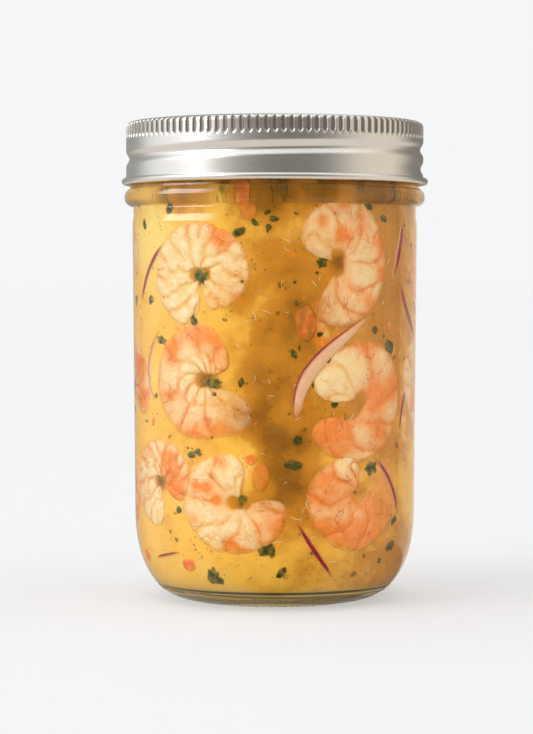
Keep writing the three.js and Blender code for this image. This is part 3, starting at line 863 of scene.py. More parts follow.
def move_verts(bm, mover, *attributes):
    """Moves every vertex: mover takes azimuths, radii and heights, and gives new radii and heights, and then
    a value for each attribute named."""
    layers = [bm.verts.layers.float.new(name) for name in attributes]
    points = np.array([v.co for v in bm.verts])
    radius = np.hypot(points[:, 0], points[:, 1])
    azimuth = np.degrees(np.arctan2(points[:, 0], -points[:, 1]))
    new_radius, new_z, *values = mover(azimuth, radius, points[:, 2])
    scale = np.where(radius > 1e-3, new_radius / np.maximum(radius, 1e-3), 1)
    for vert, x, y, z in zip(bm.verts, points[:, 0] * scale, points[:, 1] * scale, new_z):
        vert.co = (x, y, z)
    for layer, value in zip(layers, values):
        for vert, its_value in zip(bm.verts, value):
            vert[layer] = its_value


def add_grid(bm, columns, rows, place):
    """Adds a grid bent into a closed shape: place takes u and v, 0 to 1, and gives points and attributes."""
    made = bmesh.ops.create_grid(bm, x_segments=columns, y_segments=rows, size=0.5)["verts"]
    flat = np.array([v.co[:2] for v in made]) + 0.5
    points, values = place(flat[:, 0], flat[:, 1])
    layers = [(bm.verts.layers.float[name], value) for name, value in values.items()]
    for i, vert in enumerate(made):
        vert.co = points[i]
        for layer, value in layers:
            vert[layer] = value[i]
    faces = {face for vert in made for face in vert.link_faces}
    bmesh.ops.remove_doubles(bm, verts=made, dist=1e-4)
    bmesh.ops.recalc_face_normals(bm, faces=[face for face in faces if face.is_valid])


def new_bmesh(*attributes):
    """An empty bmesh whose vertices carry these attributes."""
    bm = bmesh.new()
    for name in attributes:
        bm.verts.layers.float.new(name)
    return bm


def keep(name, bm, material, node, sharp=None):
    """Makes a piece in metres of a bmesh in millimetres. It rides with the jar and stands for a CAD node."""
    bmesh.ops.scale(bm, vec=(MM, MM, MM), verts=bm.verts)
    mesh = bpy.data.meshes.new(name)
    bm.to_mesh(mesh)
    bm.free()
    mesh.shade_smooth()
    if sharp:
        mesh.set_sharp_from_angle(angle=math.radians(sharp))
    mesh.materials.append(material)
    piece = bpy.data.objects.new(name, mesh)
    bpy.context.scene.collection.objects.link(piece)
    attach(piece, "root")
    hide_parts(node)
    return piece


def seeded(seed):
    """The same small random numbers as the part's own solids use."""
    state = seed

    def draw(low, high):
        nonlocal state
        state = (state * 1664525 + 1013904223) % 4294967296
        return low + (high - low) * state / 4294967296

    return draw


def thread_at(azimuth, z, middle, start, stop, half_width):
    """A thread's height at these azimuths and heights: 1 on its middle line, and 0 outside it."""
    most = np.zeros_like(azimuth)
    for turn in (-360, 0, 360):
        along = azimuth + turn
        fade = np.clip(np.minimum(along - start, stop - along) / THREAD_FADE, 0, 1)
        away = np.abs(z - middle - THREAD_PITCH * along / 360) / half_width
        most = np.maximum(most, fade * np.where(away < 1, np.cos(away * math.pi / 2) ** 2, 0))
    return most


# ---------------------------------------------------------------- glass, band and lid
def jar_profile():
    """The glass: from the middle of the foot up its outside, over the rim, and down its inside."""
    shares = [(i / 44) ** ROW_CROWDING for i in range(45)]
    heel = [(heel_curve(FOOT_RADIUS, SIDE_RADIUS_LOW, s), HEEL_HEIGHT * s) for s in shares]
    foot_edge = FOOT_RADIUS - FOOT_WIDTH
    well_shares = [(1 - i / 32) ** ROW_CROWDING for i in range(33)]
    well = [
        (heel_curve(WELL_RADIUS, BORE_RADIUS, s), FLOOR_Z + (HEEL_HEIGHT - FLOOR_Z) * s)
        for s in well_shares
    ]
    bead = [
        *arc(SIDE_RADIUS_HIGH, BEAD_Z, BEAD_RADIUS - SIDE_RADIUS_HIGH, BEAD_HALF_HEIGHT, -88, -6, 9),
        *arc(COLLAR_RADIUS, BEAD_Z, BEAD_RADIUS - COLLAR_RADIUS, BEAD_HALF_HEIGHT, 0, 88, 10),
    ]
    collar = (COLLAR_RADIUS, COLLAR_TOP_Z)
    neck = (NECK_RADIUS, COLLAR_TOP_Z + 1.4)
    return [
        (0, PUSH_UP),
        *line((0, PUSH_UP), (foot_edge - 4, PUSH_UP), 5),
        *line((foot_edge - 4, PUSH_UP), (foot_edge, 0), 5),
        *line((foot_edge, 0), (FOOT_RADIUS, 0), 3)[:-1],
        *heel,
        *line((SIDE_RADIUS_LOW, HEEL_HEIGHT), (SIDE_RADIUS_HIGH, SHOULDER_Z - 6), 10),
        *line((SIDE_RADIUS_HIGH, SHOULDER_Z - 6), (SIDE_RADIUS_HIGH, SHOULDER_Z), 16),
        *bead,
        collar,
        neck,
        *line(neck, (NECK_RADIUS, JAR_HEIGHT - RIM_RADIUS), 24)[:-1],
        *arc(NECK_RADIUS - RIM_RADIUS, JAR_HEIGHT - RIM_RADIUS, RIM_RADIUS, RIM_RADIUS, 0, 90, 6),
        *arc(MOUTH_RADIUS + 0.7, JAR_HEIGHT - 0.7, 0.7, 0.7, 90, 180, 5),
        (MOUTH_RADIUS, BEAD_Z + 6),
        (BORE_RADIUS, SHOULDER_Z - 1),
        *well,
        (0, FLOOR_Z - 0.2),
    ]


def glass_moves(azimuth, radius, z):
    """Raises the neck's thread and the heel's rings, dents the foot, and hollows the side under the bead."""
    on_neck = (radius > NECK_RADIUS - 0.05) & (z > COLLAR_TOP_Z + 1) & (z < JAR_HEIGHT - RIM_RADIUS)
    middle = BAND_THREAD_Z + GLASS_THREAD_RISE
    thread = thread_at(
        azimuth, z, middle, GLASS_THREAD_FROM, GLASS_THREAD_TO, GLASS_THREAD_HALF_WIDTH
    )
    on_foot = (z < 0.6) & (radius > FOOT_RADIUS + 0.3) & (radius < FOOT_RADIUS + 4)
    dents = np.cos(np.radians(azimuth) * STIPPLES) > 0
    outside = radius > bore_at(np.maximum(z, FLOOR_Z + 0.6))
    on_heel = outside & (radius > FOOT_RADIUS + 2.5) & (z > 0.5) & (z < 6)
    wander = 0.5 * np.sin(np.radians(azimuth) * 2 + z)
    rings = np.sin(z * math.tau / HEEL_RING_PITCH + wander) * smooth(z, 6, 4)
    raised = on_neck * thread * GLASS_THREAD_HEIGHT + on_heel * rings * HEEL_RING_DEPTH
    on_side = radius > SIDE_RADIUS_HIGH - 0.3
    for level, half, deep in SHOULDER_DIPS:
        raised = raised - on_side * deep * np.exp(-(((z - level) / half) ** 2))
    return radius + raised, z + on_foot * dents * STIPPLE_DEPTH


def band_profile():
    """The band: its rolled edge, up its wall, over its top, and down its inside."""
    inside = BAND_RADIUS - BAND_SHEET
    under = BAND_TOP_Z - BAND_SHEET
    corner = BAND_RADIUS - BAND_CORNER_RADIUS
    low_wall = (BAND_RADIUS, CURL_Z + 1.7)
    high_wall = (BAND_RADIUS, BAND_TOP_Z - BAND_CORNER_RADIUS)
    return [
        *arc(CURL_CENTRE_RADIUS, CURL_Z, CURL_RADIUS, CURL_RADIUS, -200, 110, 16),
        low_wall,
        *line(low_wall, (BAND_RADIUS, KNURL_LOW_Z - 0.4), 26),
        *line((BAND_RADIUS, KNURL_LOW_Z - 0.4), high_wall, 13),
        *arc(corner, high_wall[1], BAND_CORNER_RADIUS, BAND_CORNER_RADIUS, 0, 90, 9)[1:],
        *line((corner, BAND_TOP_Z), (BAND_OPENING_RADIUS + 0.3, BAND_TOP_Z), 3),
        *arc(BAND_OPENING_RADIUS + 0.3, BAND_TOP_Z - 0.3, 0.3, 0.3, 90, 270, 6)[1:],
        (corner, under),
        (inside, under - 1),
        *line((inside, under - 1), (inside, CURL_Z + 1.5), 14),
        (inside, CURL_Z + 0.6),
    ]


def band_moves(depth):
    """Presses the thread and the slots of the knurled edge into the band."""

    def mover(azimuth, radius, z):
        outside = radius > BAND_RADIUS - BAND_CORNER_RADIUS
        on_wall_rows = (z > CURL_Z + 1.5) & (z < KNURL_LOW_Z)
        thread = thread_at(
            azimuth, z, BAND_THREAD_Z, BAND_THREAD_FROM, BAND_THREAD_TO, BAND_THREAD_HALF_WIDTH
        )
        pitch = 360 / KNURLS
        away = (np.mod(azimuth + pitch / 2, pitch) - pitch / 2) * math.radians(1) * BAND_RADIUS
        low = KNURL_LOW_Z + KNURL_HALF_WIDTH
        high = KNURL_HIGH_Z - KNURL_HALF_WIDTH
        past = np.maximum(np.maximum((low - z) * KNURL_LOW_END, z - high), 0)
        slot = smooth(KNURL_HALF_WIDTH - np.hypot(away, past), 0, KNURL_SLOPE)
        facing_out = outside & (radius > BAND_RADIUS - 0.75)
        drop = on_wall_rows * thread * BAND_THREAD_DEPTH + facing_out * slot * depth
        return radius - drop, z, smooth(facing_out * slot, 0.3, 0.8)

    return mover


def lid_profile():
    """The lid: from the middle of its underside out to its edge, and back over its panel and button."""
    low = LID_TOP_Z - LID_PANEL_DROP
    button = low - LID_BUTTON_DROP
    top = [
        (LID_RADIUS, LID_TOP_Z - LID_SHEET),
        *arc(LID_RADIUS - 0.4, LID_TOP_Z - 0.4, 0.4, 0.4, 0, 90, 4),
        *arc(LID_PANEL_RADIUS + 1.2, LID_TOP_Z - 0.5, 0.5, 0.5, 90, 150, 4),
        *reversed(arc(LID_PANEL_RADIUS, low + 0.5, 0.5, 0.5, -90, -30, 4)),
        *line((LID_PANEL_RADIUS, low), (LID_BUTTON_RADIUS, low), 3)[:-1],
        *arc(LID_BUTTON_RADIUS, low - 0.6, 0.6, 0.6, 90, 125, 3),
        *reversed(arc(LID_BUTTON_RADIUS - 4, button + 0.6, 0.6, 0.6, -90, -60, 3)),
        *line((LID_BUTTON_RADIUS - 4, button), (0, button), 4),
    ]
    bottom = [
        (0, button - LID_SHEET),
        (LID_BUTTON_RADIUS - 4.3, button - LID_SHEET),
        (LID_BUTTON_RADIUS - 0.3, low - LID_SHEET),
        (LID_PANEL_RADIUS - 0.8, low - LID_SHEET),
        (LID_PANEL_RADIUS + 0.4, LID_TOP_Z - LID_SHEET),
    ]
    return [*bottom, *top]


# ---------------------------------------------------------------- contents
def turned(azimuth, z, x, y, turn):
    """The way round the bore and the height of a point beside a place, turned about the place."""
    across = round_the_bore(azimuth) + x * math.cos(turn) - y * math.sin(turn)
    return across, z + x * math.sin(turn) + y * math.cos(turn)


def sauce_profile():
    """The sauce: from the middle of its underside up the wall to its level top."""
    shares = [(i / 30) ** ROW_CROWDING for i in range(31)]
    heel = [FLOOR_Z + (HEEL_HEIGHT - FLOOR_Z) * s for s in shares]
    heights = heel + [HEEL_HEIGHT + (SHOULDER_Z - HEEL_HEIGHT) * (i + 1) / 90 for i in range(90)]
    heights += [SHOULDER_Z + 3, BEAD_Z + 4, BEAD_Z + 8, SAUCE_TOP_Z - 1.5]
    wall = [(float(bore_at(np.array(z))) + SAUCE_OVERLAP, z) for z in heights]
    low = FLOOR_Z - SAUCE_OVERLAP
    return [
        (0, low),
        *line((0, low), (WELL_RADIUS - 0.5, low), 4),
        *wall,
        (MOUTH_RADIUS - 1.5, SAUCE_TOP_Z),
        *line((MOUTH_RADIUS - 1.5, SAUCE_TOP_Z), (0, SAUCE_TOP_Z), 4),
    ]


def sauce_values(azimuth, radius, z):
    """Leaves the sauce's shape as it is, and says where its colour is deep, partly as painted shade, where
    its underside is, and where it shows flesh.
    """
    under = (z < FLOOR_Z + 0.6) * 1.0
    return radius, z, sauce_depth_and_shade(azimuth, z), under, patches(SHREDS, azimuth, z)


def all_prawns():
    """The prawns in front and round the back: the row that each lies in, its settings and its blush."""
    draw = seeded(41)
    rear = []
    for row, z, start, stop in REAR_ROWS:
        for i in range(REAR_PER_ROW):
            azimuth = start + (stop - start) * i / (REAR_PER_ROW - 1)
            prawn = dict(azimuth=azimuth, z=z + draw(-3, 3), size=draw(28.5, 32), turn=draw(0, 360))
            prawn["flip"] = 1 if draw(0, 1) > 0.5 else -1
            prawn["sweep"] = draw(255, 300)
            rear.append((row, prawn))
    looks = random.Random(7)
    for _, prawn in rear:
        prawn["lobed"] = looks.choice((0.2, 0.8, 1.0))
        prawn["warmth"] = looks.uniform(0.25, 0.6)
        prawn["deep_start"] = looks.choice((0, 0, 0.6))
        prawn["deep_end"] = looks.choice((0, 0.5, 0.8))
        prawn["blush"] = [
            (looks.uniform(-12, 12), looks.uniform(-12, 12), 3.5, looks.uniform(0.3, 0.9))
            for _ in range(6)
        ]
    front = [(row, {**shape, **sunk, "blush": blush}) for row, shape, sunk, blush in PRAWNS]
    return [*front, *rear]


def sauce_depth_and_shade(azimuth, z):
    """How deep the sauce's colour is, with painted shade in the hollows in the middle of the prawns."""
    total = thickness_and_painted_light(azimuth, z)
    for _, prawn in all_prawns():
        aside = (np.mod(azimuth - prawn["azimuth"] + 180, 360) - 180) * math.radians(BORE_RADIUS)
        away = np.hypot(aside, z - prawn["z"])
        reach = HOLLOW_SHADE_WIDTH + prawn["size"] * PRAWN_HOLE
        dark = 0.4 if "uncurl" in prawn else 1.5 + 0.9 * (prawn["lobed"] > TWO_ROWS_FROM)
        total = total + dark * np.exp(-((away / reach) ** 2))
    return np.clip(total, -1, 2)


def dome(away):
    """The height of a rounded swelling: 1 where away is 0, its middle, and 0 where away is 1, its edge."""
    return np.sqrt(np.clip(1 - np.abs(away) ** 2.4, 0, 1))


def prawn_place(
    relief,
    blush,
    azimuth,
    z,
    size,
    turn,
    flip,
    sweep,
    lobed,
    warmth,
    deep_start=0,
    deep_end=0,
    end_from=0.66,
    uncurl=0,
    pointed=0,
    narrow=0,
    taper=0.35,
    slot=0,
):
    """How a grid is bent into a curled prawn that lies flat against the wall."""
    girth = size * PRAWN_GIRTH
    seed = int(azimuth * 10 + z)
    draw = random.Random(seed)
    segments = draw.uniform(6.4, 7.6)
    slant = draw.uniform(0.3, 0.55) * draw.choice((1, -1))
    start = draw.uniform(0, 1)
    two_rows = lobed > TWO_ROWS_FROM

    def body_at(share):
        """The half width along the body, and how round its ends are, each against its greatest."""
        body = np.minimum(1, 0.8 + share * 3) * (1.06 - taper * share**3)
        body = body * (1 - narrow * smooth(share, 0.3, 0.02))
        body = body * (1 - 0.8 * pointed * smooth(share, 0.76, 1.0))
        head_cap = np.sqrt(1 - np.clip(1 - share / 0.06, 0, 1) ** 2)
        tail_cap = np.sqrt(1 - np.clip(1 - (1 - share) / 0.05, 0, 1) ** 2)
        return body, head_cap * tail_cap

    def knobs_at(share, side):
        """Rows of knobs: 1 in the middle of a knob, and 0 between the knobs."""
        knobs = 0
        for level, half, ratio in KNOB_ROWS:
            along = share * segments * ratio + 3.7 * level + start + slant * (side - level)
            along = along + 0.36 * ripples(share * 34, side * 5, 7, seed + int(ratio * 10))
            wave = 0.2 * ripples(share * 34, side * 0, 5, seed + int(ratio * 20))
            aside = (side - level + wave) / half
            knobs = np.maximum(knobs, dome(2 * np.mod(along, 1) - 1) * dome(aside))
        return knobs

    def lobes_at(share, side, split, upper):
        """How far the flesh bulges, from 0 to about 1, and the lines between its lobes."""
        if lobed > KNOBS_FROM:
            knobs = knobs_at(share, side)
            return 0.22 + 0.78 * knobs, 0.8 * smooth(knobs, 0.5, 0.0)
        uneven = 0.4 * ripples(share * 24, side * 5, 9, seed)
        phase = share * segments + start + slant * side + uneven
        outer_lobe = 2 * np.mod(phase, 1) - 1
        outer_line = np.exp(-(((1 - np.abs(outer_lobe)) / 0.09) ** 2))
        if not two_rows:
            bulge = 0.8 + (0.55 * dome(outer_lobe) - 0.35) * smooth(side, -0.85, 0)
            return bulge, outer_line * smooth(side, -0.6, 0.2)
        inner_lobe = 2 * np.mod(phase * 1.3 + 0.5, 1) - 1
        inner_line = np.exp(-(((1 - np.abs(inner_lobe)) / 0.1) ** 2))
        seam = np.exp(-(((side - split) / 0.05) ** 2))
        outer = 0.5 + 0.5 * dome(outer_lobe) * dome((side - split - 0.5) / 0.8)
        outer = outer + (0.85 - outer) * smooth(side, 0.6, 0.95)
        inner = 0.25 + 0.75 * dome(inner_lobe) * dome((side - split + 0.42) / 0.48)
        bulge = outer * upper + inner * (1 - upper)
        return bulge, np.maximum(outer_line * upper + inner_line * (1 - upper), seam * 0.7)

    def place(u, v):
        share = u * 0.6 + (1 - np.cos(math.pi * u)) * 0.2
        angle = -math.pi / 2 + math.tau * v + 0.5 * np.sin(math.tau * v)
        side = np.sign(np.cos(angle)) * np.abs(np.cos(angle)) ** 0.75
        facing = np.sin(angle)
        body, cap = body_at(share)
        split = -0.12 + 0.12 * ripples(share * 30, side * 0, 8, seed + 1)
        upper = smooth(side, split - 0.05, split + 0.05)
        bulge, lines = lobes_at(share, side, split, upper)

        width = girth * body * cap * (1 + 0.065 * ripples(share * 40, side * 3, 9, seed + 4))
        heading = np.radians(turn + flip * sweep * share)
        hole = PRAWN_HOLE * (1 + 0.8 * np.cos(2 * (heading - math.radians(slot))))
        centre = size * (hole + uncurl * share**3) + girth * body
        reach = centre + width * side
        beside = reach * np.cos(heading)
        above = reach * np.sin(heading)
        across = round_the_bore(azimuth) + beside
        height = z + above

        uneven = ripples(across, height, 11, seed + 2)
        sunk = deep_start * smooth(share, 0.26, 0.02)
        sunk = sunk + deep_end * smooth(share, end_from, end_from + 0.24)
        sunk = np.clip(sunk + 0.12 * uneven, 0, 1)
        top = np.maximum(facing, 0) ** 0.65 * np.sqrt(cap)
        funnel = np.exp(-(((reach - size * hole) / (size * FUNNEL)) ** 2))
        flat = PROUD * (top - 0.45) / 0.55 - 0.75 * funnel
        lift = flat + relief * (0.7 + 0.3 * lobed) * (bulge - 0.75) * top * (1 - funnel)
        lift = lift * (1 - sunk) + 0.06 * sunk - 0.4 * smooth(sunk, 0.9, 1)
        lift = lift + (0.09 * ripples(across, height, 3.2, seed + 3) - 0.2 * side**2) * top
        back = PROUD * -0.45 / 0.55 - np.maximum(-facing, 0) * 2 * girth * PRAWN_FLATNESS * cap
        lift = np.where(facing >= 0, lift, back)

        # Painted shade: darker flesh down between the lobes and on the slope into the hole, over the real
        # lines between the segments.
        crease = 0.8 * (1 - bulge) ** 1.4 * (1 - funnel)
        crease = np.maximum(lines * (0.6 + 0.4 * uneven), crease)
        crease = np.maximum(crease, 0.8 * funnel) * smooth(top, 0.3, 0.7)
        warm = warmth + 0.3 * smooth(side, 0.7, 0.97) + 0.2 * smooth(share, 0.6, 1.0)
        # The last term is painted shade: deeper orange flesh down between the lobes.
        warm = warm - 0.15 * two_rows * (1 - upper) + (0.1 + 1.2 * warmth) * (1 - bulge)
        for right, up, spread, amount in blush:
            away = ((beside - right) ** 2 + (above - up) ** 2) / spread**2
            warm = warm + 1.15 * amount * np.exp(-away)
        edge = 1 - smooth(flat + 0.16 * ripples(across, height, 3.6, seed + 5), -0.05, 0.52)
        return on_wall(across, height, lift), {
            "crease": np.clip(crease, 0, 1),
            "warm": np.clip(warm, 0, 1),
            "veil": 1 - (1 - edge) * (1 - 0.85 * sunk),
            "thick": sauce_depth_and_shade(np.degrees(across / BORE_RADIUS), height),
            "plump": bulge * (1 - funnel),
            "along": share * size * 2 * MM,
            "aside": side * girth * MM,
        }

    return place


def onion_place(start, stop, bow, width, skin_share):
    """How a grid is bent into a sliver of onion that stands on its edge against the wall."""

    def place(u, v):
        share = 0.5 - 0.5 * np.cos(math.pi * u)
        azimuth = start[0] + (stop[0] - start[0]) * share + bow * np.sin(math.pi * share)
        slope = (stop[0] - start[0]) + bow * math.pi * np.cos(math.pi * share)
        tangent = np.stack([np.radians(slope) * BORE_RADIUS, np.full_like(share, stop[1] - start[1])])
        tangent = tangent / np.linalg.norm(tangent, axis=0)
        angle = -math.pi / 2 + math.tau * v
        side = np.cos(angle)
        facing = np.sin(angle)
        cap = np.sqrt(np.clip(1 - (2 * share - 1) ** 2, 0, 1)) ** 0.8
        half = width / 2 * cap * (0.9 + 0.15 * ripples(share * 30, side * 0, 12, int(start[1])))
        across = np.radians(azimuth) * BORE_RADIUS + tangent[1] * half * side
        height = start[1] + (stop[1] - start[1]) * share - tangent[0] * half * side
        top = np.maximum(facing, 0) ** 0.6
        lift = ONION_PROUD * (top * np.sqrt(cap) - 0.2) / 0.8
        lift = np.where(facing >= 0, lift, -0.14 - np.maximum(-facing, 0) * ONION_DEPTH * cap)
        towards_skin = side * (1 if bow * (stop[1] - start[1]) > 0 else -1)
        skin = smooth(towards_skin, 1 - 2 * skin_share - 0.25, 1 - 2 * skin_share + 0.15)
        veil = np.maximum(1 - smooth(lift, 0.0, 0.2), smooth(np.abs(2 * share - 1), 0.6, 1))
        thick = thickness_and_painted_light(azimuth, height)
        return on_wall(across, height, lift), {"skin": skin, "veil": veil * 0.8, "thick": thick}

    return place


def tomato_place(azimuth, z, wide, tall, sunk):
    """How a grid is bent into a piece of tomato pressed to the glass."""

    def place(u, v):
        turn = u * math.tau
        tilt = math.pi * v
        seed = int(azimuth + z)
        uneven = 1 + 0.12 * ripples(np.cos(turn) * 3, np.sin(turn) * 3, 4, seed)
        ring = np.sin(tilt) ** 0.8
        across = round_the_bore(azimuth) + wide / 2 * ring * np.cos(turn) * uneven
        height = z + tall / 2 * ring * np.sin(turn) * uneven
        facing = np.cos(tilt)
        front = 0.5 * (np.maximum(facing, 0) ** 0.4 - 0.35) / 0.65
        lift = np.where(facing >= 0, front, -0.27 + facing * TOMATO_DEPTH)
        patchy = np.clip(sunk * (1 + 0.7 * ripples(across, height, 4, seed + 1)), 0, 1)
        veil = 1 - smooth(lift, 0.05, 0.5) * (1 - patchy)
        thick = thickness_and_painted_light(np.full_like(height, azimuth), height)
        return on_wall(across, height, lift), {"veil": veil, "thick": thick}

    return place


def leaf_place(azimuth, z, size, draw, faded):
    """How a grid is bent into a torn piece of leaf, a thin ragged lens that lies against the wall."""
    seed = draw.randrange(100000)
    stretch = draw.uniform(0.5, 0.95)
    turn = draw.uniform(0, math.tau)
    lobes = draw.choice((2, 3, 4, 5))
    depth = draw.uniform(0.1, 0.32)
    phase = draw.uniform(0, math.tau)
    lie = draw.uniform(0.12, 0.3)
    tip = draw.uniform(-0.1, 0.1)

    def place(u, v):
        angle = u * math.tau
        tilt = math.pi * v
        ring = np.sin(tilt)
        cos, sin = np.cos(angle), np.sin(angle)
        ragged = 1 - depth * (0.5 - 0.5 * np.cos(lobes * angle + phase))
        ragged = ragged + 0.2 * ripples(cos * 4, sin * 4, 2.2, seed)
        x = size / 2 * ring * ragged * cos
        y = size / 2 * ring * ragged * sin * stretch
        across, height = turned(azimuth, z, x, y, turn)
        folds = 0.08 * ripples(x, y, 1.8, seed + 1)
        lift = lie + folds + tip * x + 0.12 * np.cos(tilt) - 0.12 * ring**4
        veil = faded + 0.4 * smooth(ring, 0.75, 1) + 0.35 * ripples(x, y, 2.6, seed + 2)
        thick = thickness_and_painted_light(np.full_like(height, azimuth), height)
        return on_wall(across, height, lift), {"veil": np.clip(veil, 0, 1), "thick": thick}

    return place


def fibre_place(azimuth, z, draw):
    """How a grid is bent into a thin bowed fibre that lies against the wall."""
    half_length = draw.uniform(0.5, 1.9)
    bend = draw.uniform(-1.8, 1.8)
    turn = draw.uniform(0, math.tau)
    thin = draw.uniform(0.06, 0.13)

    def place(u, v):
        swell = np.sqrt(np.clip(1 - (2 * u - 1) ** 2, 0, 1))
        angle = math.tau * v
        along = (u - 0.5) * 2 * half_length
        aside = bend * (u - 0.5) ** 2 * half_length + thin * swell * np.cos(angle)
        across, height = turned(azimuth, z, along, aside, turn)
        return on_wall(across, height, 0.14 + 0.12 * swell * np.sin(angle)), {}

    return place


def add_fleck(bm, azimuth, z, draw):
    """Adds a tiny flat ball, long one way, that lies against the wall."""
    made = bmesh.ops.create_icosphere(bm, subdivisions=1, radius=1)["verts"]
    half_length = draw.uniform(0.12, 0.5)
    half_width = draw.uniform(0.08, 0.18)
    turn = draw.uniform(0, math.pi)
    veil = draw.uniform(0, 0.4)
    layer = bm.verts.layers.float["veil"]
    for vert in made:
        across, height = turned(azimuth, z, vert.co.x * half_length, vert.co.y * half_width, turn)
        lift = 0.05 + vert.co.z * 0.1 + PROUD * 0.2
        vert.co = on_wall(np.array(across), np.array(height), lift)
        vert[layer] = veil


def scattered(draw, count, low=9, high=119):
    """Places all round the wall: azimuth and z."""
    return [(draw.uniform(-180, 180), draw.uniform(low, high)) for _ in range(count)]


# ---------------------------------------------------------------- operators
class CEVICHE_OT_glass(Operator):
    """Make the glass jar"""

    bl_idname = "ceviche.glass"
    bl_label = "Glass Jar"

    def execute(self, context):
        bm = spun(jar_profile(), 4 * STIPPLES)
        move_verts(bm, glass_moves)
        finish = glass_finish(context.scene.container_look)
        glass = keep("glass_jar", bm, finish, "jar", sharp=SHARP_ANGLE)
        glass.visible_shadow = False
        return {"FINISHED"}


class CEVICHE_OT_band(Operator):
    """Make the knurled screw band"""

    bl_idname = "ceviche.band"
    bl_label = "Screw Band"

    def execute(self, context):
        look = context.scene.container_look
        bm = spun(band_profile(), KNURLS * KNURL_COLUMNS, closed=True)
        move_verts(bm, band_moves(look.knurl_depth / MM), "recess")
        finish = steel_finish("satin_steel", look, look.steel_roughness)
        keep("knurled_band", bm, finish, "screw_band", sharp=SHARP_ANGLE)
        return {"FINISHED"}


class CEVICHE_OT_lid(Operator):
    """Make the flat lid"""

    bl_idname = "ceviche.lid"
    bl_label = "Flat Lid"

    def execute(self, context):
        look = context.scene.container_look
        finish = steel_finish("lid_steel", look, look.steel_roughness * 0.9)
        bm = spun(lid_profile(), LID_COLUMNS)
        keep("sealing_lid", bm, finish, "flat_lid", sharp=SHARP_ANGLE)
        return {"FINISHED"}


class CEVICHE_OT_sauce(Operator):
    """Make the sauce that fills the jar"""

    bl_idname = "ceviche.sauce"
    bl_label = "Sauce"

    def execute(self, context):
        finish = sauce_finish(context.scene.ceviche_look)
        bm = spun(sauce_profile(), SAUCE_COLUMNS)
        move_verts(bm, sauce_values, "thick", "under", "flesh")
        keep("thick_sauce", bm, finish, "ceviche")
        return {"FINISHED"}


class CEVICHE_OT_prawns(Operator):
    """Make the prawns, one piece for each row"""

    bl_idname = "ceviche.prawns"
    bl_label = "Prawns"

    def execute(self, context):
        look = context.scene.ceviche_look
        finish = prawn_finish(look)
        prawns = all_prawns()
        for row in ("upper", "middle", "lower"):
            bm = new_bmesh("crease", "warm", "veil", "thick", "plump", "along", "aside")
            for its_row, prawn in prawns:
                if its_row == row:
                    add_grid(bm, *PRAWN_GRID, prawn_place(look.relief / MM, **prawn))
            keep(f"prawns_{row}", bm, finish, "ceviche")
        return {"FINISHED"}


class CEVICHE_OT_onions(Operator):
    """Make the slivers of red onion"""

    bl_idname = "ceviche.onions"
    bl_label = "Onion"

    def execute(self, context):
        bm = new_bmesh("skin", "veil", "thick")
        for onion in ONIONS:
            add_grid(bm, *ONION_GRID, onion_place(*onion))
        keep("onion_slivers", bm, onion_finish(context.scene.ceviche_look), "ceviche")
        return {"FINISHED"}


class CEVICHE_OT_tomato(Operator):
    """Make the pieces of tomato"""

    bl_idname = "ceviche.tomato"
    bl_label = "Tomato"

    def execute(self, context):
        bm = new_bmesh("veil", "thick")
        for piece in TOMATO:
            add_grid(bm, *TOMATO_GRID, tomato_place(*piece))
        keep("tomato_pieces", bm, tomato_finish(context.scene.ceviche_look), "ceviche")
        return {"FINISHED"}


class CEVICHE_OT_herbs(Operator):
    """Make the chopped leaves and their flecks"""

    bl_idname = "ceviche.herbs"
    bl_label = "Herbs"

    def execute(self, context):
        look = context.scene.ceviche_look
        finish = herb_finish(look)
        draw = random.Random(11)
        bm = new_bmesh("veil", "thick")
        for azimuth, z, size in LEAVES:
            faded = draw.uniform(0, 0.12) + 0.5 * (z > CLUSTER_Z)
            add_grid(bm, *LEAF_GRID, leaf_place(azimuth, z, size * LEAF_GROWTH, draw, faded))
        for azimuth, z in scattered(draw, look.small_leaves):
            in_front = abs(azimuth) < FRONT_AZIMUTH
            size = draw.uniform(0.9, 2.4) if in_front else draw.uniform(1.0, 5.0)
            faded = draw.uniform(0.0, 0.6)
            add_grid(bm, *SMALL_LEAF_GRID, leaf_place(azimuth, z, size, draw, faded))
        keep("herb_leaves", bm, finish, "ceviche")

        bm = new_bmesh("veil", "thick")
        for azimuth, z in scattered(draw, look.flecks):
            add_fleck(bm, azimuth, z, draw)
        keep("herb_flecks", bm, finish, "ceviche")
        return {"FINISHED"}


class CEVICHE_OT_pulp(Operator):
    """Make the pale fibres of pulp"""

    bl_idname = "ceviche.pulp"
    bl_label = "Pulp"

    def execute(self, context):
        draw = random.Random(23)
        bm = new_bmesh()
        for azimuth, z in scattered(draw, context.scene.ceviche_look.fibres, high=112):
            add_grid(bm, *FIBRE_GRID, fibre_place(azimuth, z, draw))
        keep("lime_pulp", bm, fibre_finish(), "ceviche")
        return {"FINISHED"}


